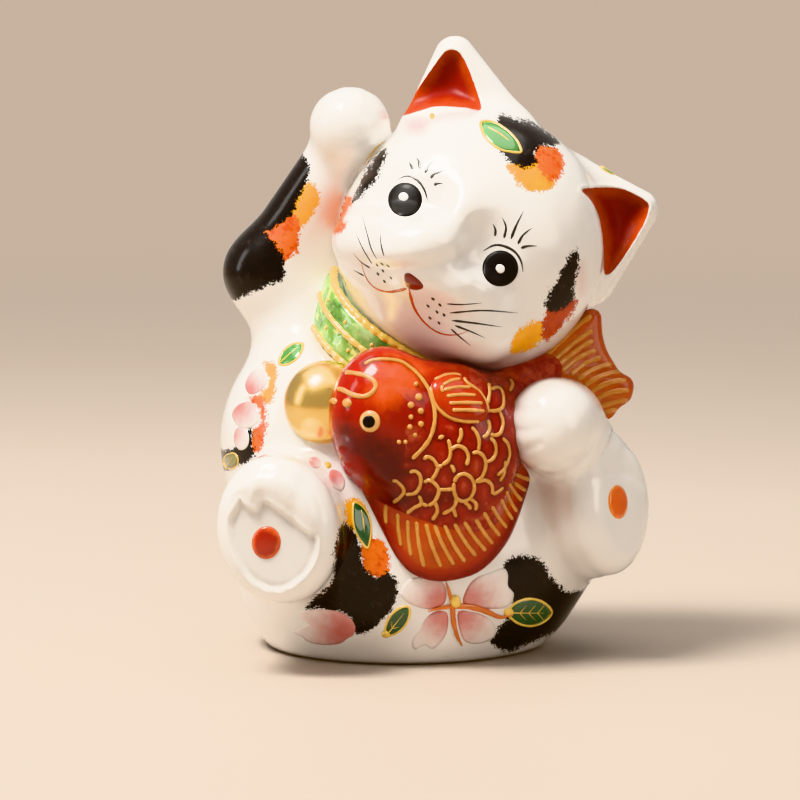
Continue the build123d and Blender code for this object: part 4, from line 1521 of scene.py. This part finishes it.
leaf_olive = enamel("leaf_olive", (0.13, 0.12, 0.03), (0.24, 0.22, 0.07), rough=0.2)
petal_pink = enamel("petal_pink", (0.56, 0.15, 0.14), (0.68, 0.27, 0.24), rough=0.18, coat=0.6,
                    fade=(0.12, 1.10, (0.84, 0.77, 0.735)))
stem_orange = enamel("stem_orange", (0.52, 0.09, 0.012), (0.78, 0.22, 0.02), rough=0.2)
cream = enamel("slip_cream", (0.72, 0.36, 0.09), (0.84, 0.50, 0.17), rough=0.25)


# -------------------------------------------------------------- face, soles ---
def single_lens(name, material, slot, node, outline, height, surface="white", **shape):
    build = Build()
    lens(build, outline, surface, height, **shape)
    return build.done(name, material, slot, node)


def eyes_and_nose():
    single_lens("eye_right", black_enamel, "enamel_black", "right_eye",
                disc(1, 40.08, 3.44), 0.55, rings=8, seg=56)
    single_lens("eye_left", black_enamel, "enamel_black", "left_eye",
                disc(20.06, 26.32, 3.6), 0.55, rings=8, seg=56)
    spots = Build()
    for x, y in ((0.88, 40.4), (19.98, 26.2)):
        lens(spots, disc(x, y, 1.12, 1.08), "white", 0.16, base=0.60, rings=4, seg=28)
    spots.done("eye_spots", spot_white, "porcelain_white")
    single_lens("nose_enamel", nose_red, "enamel_red", "nose",
                "0.9,25.1 1.8,25.4 2.8,24.8 4,23.8 4.7,22.6 3.6,22 2,22.2 1.04,23.2",
                0.28, rings=5, seg=36)


MOUTH = ["1.8,22.3 2.4,19.6 3.4,17.4 5.2,15.2 7.4,13.6 9.8,13 12,13.2 13.6,13.8",
         "1.3,22.3 -0.6,21.8 -2.6,21.6 -4.8,22.3 -6.4,23.8 -7.3,25.8 -7.68,27.4"]
LIDS = ["-0.6,44 1.2,44.8 3.2,44.2 4.8,42.2 5.6,39.6",
        "16.6,29.8 18.6,30.9 20.4,30.9 22.8,29.8 24.2,27.8 24.6,25.6"]
RIGHT_LASHES = ["2.6,46.2 1.8,47.6", "4,46.2 3.8,47.6 3.2,48.6", "5,45.4 5.8,47 7.2,48.2",
                "6.2,44.3 6.8,45.2 9.2,46", "6.8,43 7.6,43.4 8.6,43.2"]
LEFT_LASHES = ["19,32.8 19.1,34 18.6,35.2", "20.8,32.4 21.2,34.6 20.4,36.6",
               "22.2,32.2 23.2,34.8 24.8,38", "23.6,31.2 24.6,33 26.4,34.4",
               "24.2,30.4 25.6,30.8 27.4,30.8"]
WHISKERS = ["9.4,19.2 12.6,19.1 16.4,19.4", "10,17.4 16.6,17.9 23.6,17.4",
            "10.4,15.9 14.7,15.4 20.4,14.6", "11,14.9 14.4,13.6 17,12.4",
            "10.2,14.2 12,12.6 14.2,10.8", "-3.2,28.8 -3.8,31.1 -4,34.2",
            "-4.6,28.1 -5.8,30.4 -6.6,33.4 -7.6,37", "-5.6,27.2 -7.5,30.4 -9,33.8",
            "-6,26.4 -7.8,27.6 -9.4,29.4", "-7.2,24.8 -8.2,25.4 -9.4,26"]
CHEEK_DABS = xy("""6.6,20.2 5.6,18.8 8,19 7.4,17.6 8.8,17 6,16.4 7.8,15.4 -3.6,27.2 -2.4,26.8
    -4.6,27 -3.4,25.8 -4.4,25.2 -1.8,24.4 -3.1,23.7""")
DAB = xy("-0.24,0.34 0,0 0.18,-0.34")


def face_lines():
    mouth = Build()
    for line in MOUTH:
        stroke(mouth, line, "white", 0.85, 0.15, "whisker")
    mouth.done("mouth_line", mouth_red, "enamel_red")
    # lines, width, height, taper, step
    groups = [(LIDS, 0.60, 0.11, "brush", 0.32), (RIGHT_LASHES, 0.95, 0.12, "whisker", 0.2),
              (LEFT_LASHES, 0.70, 0.12, "whisker", 0.2), (WHISKERS, 0.62, 0.11, "whisker", 0.32),
              ([DAB + place for place in CHEEK_DABS], 0.80, 0.13, "brush", 0.14)]
    build = Build()
    for lines, width, height, taper, step in groups:
        for line in lines:
            stroke(build, line, "white", width, height, taper, step=step, sides=8)
    build.done("face_lines", ink, "enamel_black")


def sole_pads():
    single_lens("pad_right", pad_red, "enamel_red", "right_sole_pad",
                disc(-26.74, -28.52, 2.9, 3.3, turn=-10), 0.45, seg=48)
    single_lens("pad_left", pad_orange, "enamel_orange", "left_sole_pad",
                disc(43.6, -20.4, 1.96, 3.4, turn=4), 0.4, seg=48)


eyes_and_nose()
face_lines()
sole_pads()

# -------------------------------------------------- leaves, petals, stems ---
bright_leaves, dark_leaves, olive_leaves = Build(), Build(), Build()
outlines, petals, stems = Build(), Build(), Build()


def leaf(target, x, y, long, wide, degrees, outline, view=FRONT, veins=0):
    """Pointed leaf with an outline, a midrib and pairs of side veins."""
    turn = radians(degrees)
    centre = np.array([x, y])
    along, across = np.array([cos(turn), sin(turn)]), np.array([sin(turn), -cos(turn)])
    t = np.arange(26) / 26 * 2 * pi
    swell = wide / 2 * np.sin(t) * np.abs(np.sin(t)) ** 0.35
    edge = centre + np.outer(long / 2 * np.cos(t), along) + np.outer(swell, across)
    lens(target, edge, "white", 0.22, view, rings=5, seg=40)
    stroke(outlines, edge, "white", outline, 0.24, closed=True, view=view, step=0.26)
    midrib = [centre - 0.42 * long * along, centre, centre + 0.30 * long * along]
    stroke(outlines, midrib, "white", outline * 0.6, 0.36, "whisker", view=view, step=0.26,
           lift=0.15)
    for k in range(veins):
        root = centre + (-0.25 + 0.2 * k) * long * along
        for side in (-1, 1):
            tip = root + 0.16 * long * along + side * 0.28 * wide * across
            stroke(outlines, [root, (root + tip) / 2, tip], "white", outline * 0.4, 0.34,
                   "whisker", view=view, step=0.2, lift=0.15)


def drawn_leaf(target, edge, midrib, seg, edge_size, midrib_size):
    """Leaf with its own outline. Sizes are width and height of the lines."""
    lens(target, edge, "white", 0.25, rings=6, seg=seg)
    stroke(outlines, edge, "white", *edge_size, closed=True, step=0.26)
    stroke(outlines, midrib, "white", *midrib_size, "brush", lift=0.15)


def crown_sprig():
    drawn_leaf(bright_leaves, """16.2,55.6 17.8,55.8 19.6,55.2 21.6,53.8 23,52.4 23.8,51.2
        24.2,49.6 22.4,49.6 20.4,50 18.6,51 17.2,52.4 16.4,54""",
               "17.6,54.4 20,53 21.8,51.6", 48, (0.60, 0.28), (0.40, 0.40))
    # small leaf on the upper edge of the left ear, laid out from above
    hit = trees["white"].ray_cast(Vector(FRONT.eye), Vector(FRONT.ray(41.4, 45.1)))[0]
    x, y, _ = ABOVE.project(np.array(hit))
    leaf(bright_leaves, float(x), float(y) + 1.8, 3, 1.6, -24, outline=0.32, view=ABOVE)
    # line beside the patch on the right of the head
    stroke(outlines, "-2.8,51.8 -4.4,50.8 -5.8,49.2 -7.2,47", "white", 0.40, 0.15, "brush")


def leg_leaves():
    lens(outlines, disc(6.4, 56.8, 0.52, 0.64), "white", 0.2, rings=3, seg=16)
    lens(outlines, disc(-14.4, -13, 0.8, 0.6, turn=-35), "white", 0.2, rings=3, seg=16)
    lens(outlines, disc(11, -40.2, 1.12, 1.28), "white", 0.9, base=0.4, rings=6, seg=28)
    drawn_leaf(dark_leaves, """-9.2,-20.6 -7.6,-21.2 -6.4,-23 -5.8,-25.4 -6,-27.8 -6.5,-29.6
        -7.8,-28.2 -8.9,-26.2 -9.4,-23.8""",
               "-7.8,-22 -7.4,-24.4 -7.2,-26.6", 44, (0.50, 0.25), (0.34, 0.38))
    leaf(dark_leaves, -0.5, -44.2, 7.2, 3.4, 52, outline=0.55, veins=1)
    leaf(dark_leaves, 26, -42.5, 8.8, 5.4, 0, outline=0.62, veins=3)
    lens(outlines, disc(21.8, -42.5, 1.1, 1), "white", 0.3, rings=3, seg=20)
    lens(outlines, disc(-2.8, -46.8, 0.92, 0.8), "white", 0.3, rings=3, seg=20)


def flower_stems():
    """Two crossing stems of the flower under the fish."""
    stroke(stems, "9.2,-36.4 9.8,-38.4 10.4,-40.8 10.7,-44.4 11.4,-47.2 12.4,-49",
           "white", 1.05, 0.34, "brush", lift=0.25)
    stroke(stems, "5.6,-42.2 8,-41.6 11,-41.2 14.4,-41.4 17.6,-42.4 20,-43.4 22.4,-42.8",
           "white", 1.2, 0.34, "brush", lift=0.25)


# deep pink point, distance over which it fades, height, outline
PETALS = [
    # flower under the fish
    ((8.4, -40.4), 6.8, 0.16, """8.8,-40.8 5.6,-41.8 2,-40.8 0,-39 0.8,-36.8 2.6,-35.6
        5.2,-35.4 8,-36 9.2,-38"""),
    ((13, -40.6), 8, 0.16, """12.6,-40.8 13.4,-37.6 15.2,-35.6 17.8,-34.6 20.6,-33.6
        21.6,-34.8 21.6,-37.2 22.8,-38.8 21.8,-41.2 19.4,-41.8 15.6,-41.6"""),
    ((8.8, -42.8), 6.8, 0.16, """9.4,-42.6 9.6,-45.2 8.8,-47.6 6.6,-49.8 4.8,-49 2.8,-50
        2.4,-48 4,-46 5.2,-43.6 7.4,-42.2"""),
    ((12, -42.6), 7.2, 0.16, """11.6,-42.4 14.4,-42.4 17,-43.2 18.8,-44.8 19.2,-46.8 18,-48
        15.6,-48.8 13.2,-48.4 12,-46.4"""),
    # two small blossoms over the right leg
    ((-18, -12.2), 2.8, 0.12, "-18.2,-11.8 -16.8,-11.4 -15.8,-12.4 -16.2,-13.6 -17.6,-13.4"),
    ((-13.4, -14.6), 3.6, 0.12, """-13.8,-14 -12,-14.4 -11,-16.4 -11.6,-18.2 -13.2,-17.6
        -14.2,-15.8"""),
    # bud at the foot of the right leg
    ((-10.4, -45.6), 9.6, 0.16, """-13.8,-42 -11.06,-42.8 -9.08,-44.74 -9.1,-46.8 -10.4,-47.6
        -12,-48.72 -15.4,-49 -18.4,-48.4 -20,-47.2 -21.8,-46.2 -19.8,-45.5 -18.4,-44.8
        -19.6,-43.6 -20.7,-42.7 -18.4,-42.14 -16.4,-41.92"""),
    # right flank
    ((-30.8, 1.6), 4.8, 0.16, """-29.2,6 -27.4,6.2 -26.4,4.6 -27,2.8 -28.6,1.4 -30.2,1.2
        -31,2.8 -30.4,4.6"""),
    ((-32.8, -0.8), 5.2, 0.16, """-32.4,-1 -30,-0.4 -28.4,-2 -28.4,-4.4 -30.2,-5.6 -32.4,-5.2
        -33.6,-3"""),
    ((-34.4, -6.4), 4, 0.16, "-32.8,-5.8 -31,-5.6 -30.2,-7.4 -30.6,-9.4 -32,-10 -33.2,-8.4"),
]

crown_sprig()
leg_leaves()
flower_stems()
leaf(bright_leaves, -21.8, 9.2, 6.2, 3, 42, outline=0.6)
leaf(olive_leaves, -33.8, -12.2, 3.4, 3, 60, outline=0.3)
for _deep, _reach, _height, _outline in PETALS:
    lens(petals, _outline, "white", _height,
         fade=lambda flat: length(flat - np.array(_deep)) / _reach)
bright_leaves.done("leaves_bright", leaf_green, "collar_green")
dark_leaves.done("leaves_dark", leaf_dark, "collar_green")
outlines.done("leaf_outlines", gold_bright, "slip_gold")
olive_leaves.done("leaf_olive_piece", leaf_olive, "collar_green")
petals.done("petals", petal_pink, "enamel_orange")
stems.done("flower_stems", stem_orange, "enamel_orange")

# ------------------------------------------------------ slip on the fish ---
HEAD_CURL = """-11,5.6 -9.2,5.4 -7.2,5 -5.6,4.2 -4.8,3 -5.4,1.7 -6.8,0.8 -8.4,0.8 -9.8,1.2
    -11.4,2 -12.6,2.3"""
# x, y, radius
BEADS = [(-13.2, -0.2, 0.64), (-10.6, -0.6, 0.92), (3.2, 3.2, 0.46), (3.8, 0.6, 0.76),
         (2.2, -1, 0.68), (4.2, -2.2, 0.64), (2.2, -3.4, 0.5), (4.2, -4.8, 0.62),
         (2, -5.4, 0.54), (3, -7, 0.48), (1.1, -8.4, 0.46), (-0.2, -8.4, 0.46)]
PECTORAL = """6.2,3.2 8,4.6 10.2,5.2 12.4,4.8 13.6,3.4 15.8,1.8 17.4,-0.7 17.6,-3.2 16.2,-4.3
    12.6,-4.3 9.8,-3.5 7.6,-1.8 6.4,0.4"""
PECTORAL_RAYS = ["8.6,3 10.4,4 12.2,4.2", "8.7,2 11.4,2.6 14.2,2.6", "9.3,0.8 12.2,1.1 15.2,1",
                 "9.8,-0.6 13.2,-0.5 16.6,-0.6", "10.4,-2 13.8,-2 17,-2.2"]
# inner and outer end of each ray
FRILL_RAYS = xy("""
    -2.8,-21.2 -2.8,-24.8  -0.4,-23.2 0.2,-29.2  1.6,-24.6 2.2,-31.2  3.4,-25 4.8,-33.4
    5.4,-25.4 8.2,-33.4  7.2,-25.6 10.8,-33  9.2,-25.6 13,-32.4  11.2,-25.2 15.2,-31.2
    13.2,-24.8 17.2,-30.2  15.4,-24.2 18.6,-28.8  17,-22.8 20,-27.2  18.6,-21.6 21.4,-25.6
    20.4,-20.2 22.6,-24  21.4,-18.6 23.4,-22.4  22,-17 24.4,-20.2  22.6,-16.2 25.2,-18.2
    23.2,-14.8 26,-16""").reshape(-1, 2, 2)
TAIL_RAYS = ["26,6.2 28,7.8 32,11.6 35.4,14.8 38.4,17", "29,6.8 31.2,8.4 35,11.6 38.6,14",
             "30.6,6.4 33.4,8.4 36.2,10.6 38.8,12", "32.2,5.6 35,8 37.6,9.4 39.4,10",
             "34,5 36.6,7 38.6,8 40.4,8.6", "35.4,4 38,5.8 40.4,6.8 42.4,7.2",
             "36.8,2.8 39.6,4.6 42,5.4 44.2,5.8", "38,1.4 40.6,3 43,3.8 45.4,4",
             "39,0 41.6,1.3 43.6,1.8 46,2", "40,-1.4 42.6,-0.6 44.4,-0.2 46,0",
             "40.8,-2.6 42.8,-2 44.8,-1.6"]


def body_slip():
    build = Build()
    stroke(build, GILL, "fish_form", 0.88, 0.42)
    stroke(build, HEAD_CURL, "fish_form", 1.0, 0.42)
    for scale in SCALES:
        stroke(build, scale, "fish_form", 0.80, 0.38, step=0.26)
    for x, y, radius in BEADS:
        lens(build, disc(x, y, radius, points=14), "fish_form", 0.42, rings=4, seg=20)
    build.done("fish_slip_lines", gold, "slip_gold")


def pectoral_fin():
    """Raised leaf of glaze with a slip edge and rays."""
    fin = Build()
    lens(fin, PECTORAL, "fish_form", 0.9, rings=8, seg=52, dome=0.35, base=0.1)
    ob = fin.done("fin_pectoral", fin_glaze["fin"], "fin_red", "fish_pectoral_fin")
    for name, value in (("line", NO_LINE), ("lite", 0.35)):
        add_attribute(ob.data, name, np.full(fin.total, value))
    trees["pectoral"] = BVHTree.FromPolygons(np.concatenate(fin.points).tolist(), fin.faces)
    build = Build()
    stroke(build, PECTORAL, "pectoral", 0.95, 0.42, closed=True, step=0.28)
    for line in PECTORAL_RAYS:
        stroke(build, line, "pectoral", 0.75, 0.36, step=0.26)
    stroke(build, "8.6,3 8.3,2.2 8.8,1.6", "pectoral", 0.7, 0.32, step=0.2)
    build.done("fin_pectoral_lines", gold, "slip_gold")


def frill_rays():
    frill_points, frill_quads = surfaces["fish_fin_frill"]
    fish_points, fish_quads = surfaces["fish_form"]
    trees["frill_and_fish"] = BVHTree.FromPolygons(
        np.concatenate([frill_points, fish_points]).tolist(),
        np.concatenate([frill_quads, fish_quads + len(frill_points)]).tolist())
    build = Build()
    for inner, outer in FRILL_RAYS:
        inner = inner - 0.09 * (outer - inner)
        run_x, run_y = outer - inner
        middle = (inner + outer) / 2 + np.array([run_y, -run_x]) * 0.03
        stroke(build, [inner, middle, outer], "frill_and_fish", 0.86, 0.42, step=0.3)
    build.done("frill_rays", gold, "slip_gold")


def tail_rays():
    build = Build()
    for line in TAIL_RAYS:
        stroke(build, line, "fish_fin_tail", 1.15, 0.34, step=0.3)
    build.done("tail_rays", gold_brown, "slip_gold")


body_slip()
pectoral_fin()
frill_rays()
tail_rays()
single_lens("fish_eye_ring", cream, "slip_gold", "fish_eye", disc(-6, -4.28, 2.08, 2.2), 0.55,
            surface="fish_form", rings=6, seg=40)
single_lens("fish_pupil", black_enamel, "enamel_black", None, disc(-6.1, -4.28, 1.36, 1.38),
            0.25, surface="fish_form", base=0.60, rings=5, seg=32)

# ------------------------------------------------------------ collar cords ---
# height along the neck, radius, cord width, cord height, seed
CORDS = [(-4.35, 20.5, 1.3, 0.75, 43), (4.90, 19.7, 1.6, 0.80, 52), (0.6, 20.6, 1.15, 0.60, 9)]
BEAD_COUNT, BEAD_SIDES, BEAD_ROWS = 34, 8, 5
BEAD_RADIUS = 20.6                      # from the neck axis
BEAD_HEIGHT, BEAD_HALF_WIDTH = 0.34, 0.42


def collar_bead(build, centre, outward):
    sideways = np.cross(NECK_AXIS, outward)
    sides = BEAD_SIDES
    points = [centre + outward * BEAD_HEIGHT]
    for i in range(1, BEAD_ROWS):
        slope = i / BEAD_ROWS * pi
        for j in range(sides):
            turn = j / sides * 2 * pi
            ring = NECK_AXIS * cos(turn) + sideways * sin(turn)
            points.append(centre + outward * BEAD_HEIGHT * cos(slope)
                          + ring * BEAD_HALF_WIDTH * sin(slope))
    points.append(centre - outward * BEAD_HEIGHT)
    faces = [(0, 1 + (j + 1) % sides, 1 + j) for j in range(sides)]
    for i in range(BEAD_ROWS - 2):
        a = 1 + i * sides
        b = a + sides
        for j in range(sides):
            k = (j + 1) % sides
            faces.append((a + j, a + k, b + k, b + j))
    last = 1 + (BEAD_ROWS - 2) * sides
    faces += [(len(points) - 1, last + j, last + (j + 1) % sides) for j in range(sides)]
    build.add(points, faces)


def collar_cords():
    first = unit(np.cross(NECK_AXIS, [0, 0, 1.0]))
    second = np.cross(NECK_AXIS, first)
    build = Build()
    turns = np.arange(260) / 260 * 2 * pi
    outward = np.cos(turns)[:, None] * first + np.sin(turns)[:, None] * second
    twist = 0.08 * np.sin(turns * 57)[:, None]
    for height, radius, width, thickness, seed in CORDS:
        path = COLLAR_CENTRE + NECK_AXIS * height + outward * (radius + twist)
        tube(build, path, outward, width, thickness, closed=True, seed=seed, waver=0.12,
             sink=0.1)
    for i in range(BEAD_COUNT):
        turn = i / BEAD_COUNT * 2 * pi
        away = cos(turn) * first + sin(turn) * second
        height = 2.5 if i % 2 else -1.6
        collar_bead(build, COLLAR_CENTRE + NECK_AXIS * height + away * BEAD_RADIUS, away)
    build.done("collar_cords", gold_bright, "slip_gold")


collar_cords()

# ---------------------------------------------- floor, world, lights, camera ---
BACKDROP = (0.61, 0.485, 0.39, 1)
WORLD_STRENGTH, GLOSSY_EXTRA = 0.20, 0.30
FLOOR_RADIUS, FLOOR_SIDES = 30000.0, 96


def floor_material():
    """Pale floor that passes into the backdrop colour with distance."""
    s = Shader("floor_pale")
    color = s.mix(s.noise(scale=6.0), (0.43, 0.36, 0.30), (0.47, 0.40, 0.335))
    s.finish(color=color, rough=0.55, spec=0.25)
    split = s.add("ShaderNodeSeparateXYZ")
    s.feed(split.inputs[0], s.coords)
    x, y = split.outputs[0], split.outputs[1]
    radius = s.math("SQRT", s.math("ADD", s.math("MULTIPLY", x, x), s.math("MULTIPLY", y, y)))
    glow = s.add("ShaderNodeEmission")
    glow.inputs[0].default_value = BACKDROP
    glow.inputs[1].default_value = 1.0
    mixer = s.add("ShaderNodeMixShader")
    s.feed(mixer.inputs[0], s.rise(radius, start=0.14, end=1.0))
    s.feed(mixer.inputs[1], s.bsdf.outputs[0])
    s.feed(mixer.inputs[2], glow.outputs[0])
    s.feed(s.tree.nodes["Material Output"].inputs[0], mixer.outputs[0])
    return s.material


def build_floor():
    turns = [i / FLOOR_SIDES * 2 * pi for i in range(FLOOR_SIDES)]
    rim = [(FLOOR_RADIUS * cos(t), FLOOR_RADIUS * sin(t), 0.0) for t in turns]
    faces = [(0, 1 + i, 1 + (i + 1) % FLOOR_SIDES) for i in range(FLOOR_SIDES)]
    make_mesh("floor", [(0, 0, 0)] + rim, faces, floor_material(), smooth=False)


def build_world():
    """Backdrop colour for the camera, dim warm light elsewhere, brighter in reflections."""
    world = bpy.data.worlds.new("studio")
    bpy.context.scene.world = world
    world.use_nodes = True
    nodes, link = world.node_tree.nodes, world.node_tree.links.new
    ambient = nodes["Background"]
    ambient.inputs[0].default_value = (1.0, 0.92, 0.84, 1)
    ambient.inputs[1].default_value = WORLD_STRENGTH
    backdrop = nodes.new("ShaderNodeBackground")
    backdrop.inputs[0].default_value = BACKDROP
    backdrop.inputs[1].default_value = 1.0
    rays = nodes.new("ShaderNodeLightPath")
    mixer = nodes.new("ShaderNodeMixShader")
    link(rays.outputs["Is Camera Ray"], mixer.inputs[0])
    strength = nodes.new("ShaderNodeMath")
    strength.operation = "MULTIPLY_ADD"
    link(rays.outputs["Is Glossy Ray"], strength.inputs[0])
    strength.inputs[1].default_value = GLOSSY_EXTRA
    strength.inputs[2].default_value = WORLD_STRENGTH
    link(strength.outputs[0], ambient.inputs[1])
    link(ambient.outputs[0], mixer.inputs[1])
    link(backdrop.outputs[0], mixer.inputs[2])
    link(mixer.outputs[0], nodes["World Output"].inputs[0])


def place(name, data, location, target):
    """Add an object that looks at the target."""
    ob = bpy.data.objects.new(name, data)
    bpy.context.scene.collection.objects.link(ob)
    ob.location = location
    direction = Vector(target) - Vector(location)
    ob.rotation_euler = direction.to_track_quat("-Z", "Y").to_euler()
    return ob


# name, place and target in metres, width, height, watts, colour
LIGHTS = [
    ("key", (-0.30, -0.16, 0.70), (0, 0, 0.07), 0.24, 0.24, 10.5, (1.0, 0.97, 0.93)),
    ("sky", (-0.3, 0.0, 2.4), (0, 0, 0.0), 3.2, 3.2, 62.0, (1.0, 0.97, 0.94)),
    ("side", (-0.75, -0.10, 0.34), (0, 0, 0.06), 0.18, 0.5, 1.2, (1.0, 0.96, 0.93)),
    ("fill", (0.62, -0.45, 0.36), (0, 0, 0.06), 0.40, 0.5, 1.5, (1.0, 0.92, 0.84)),
]


def build_lights():
    for name, location, target, width, height, watts, colour in LIGHTS:
        light = bpy.data.lights.new(name, "AREA")
        light.energy = watts
        light.color = colour
        light.shape = "RECTANGLE"
        light.size = width
        light.size_y = height
        place(name, light, location, target)


def build_camera():
    camera = bpy.data.cameras.new("camera")
    camera.lens = 180
    camera.sensor_width = 36
    bpy.context.scene.camera = place("camera", camera, FRONT.eye * METRES,
                                     VIEW_TARGET * METRES)


build_floor()
build_world()
build_lights()
build_camera()
# guards against a colour configuration without the neutral transform
try:
    bpy.context.scene.view_settings.view_transform = "Khronos PBR Neutral"
except TypeError:
    bpy.context.scene.view_settings.view_transform = "Standard"
bpy.context.view_layer.update()
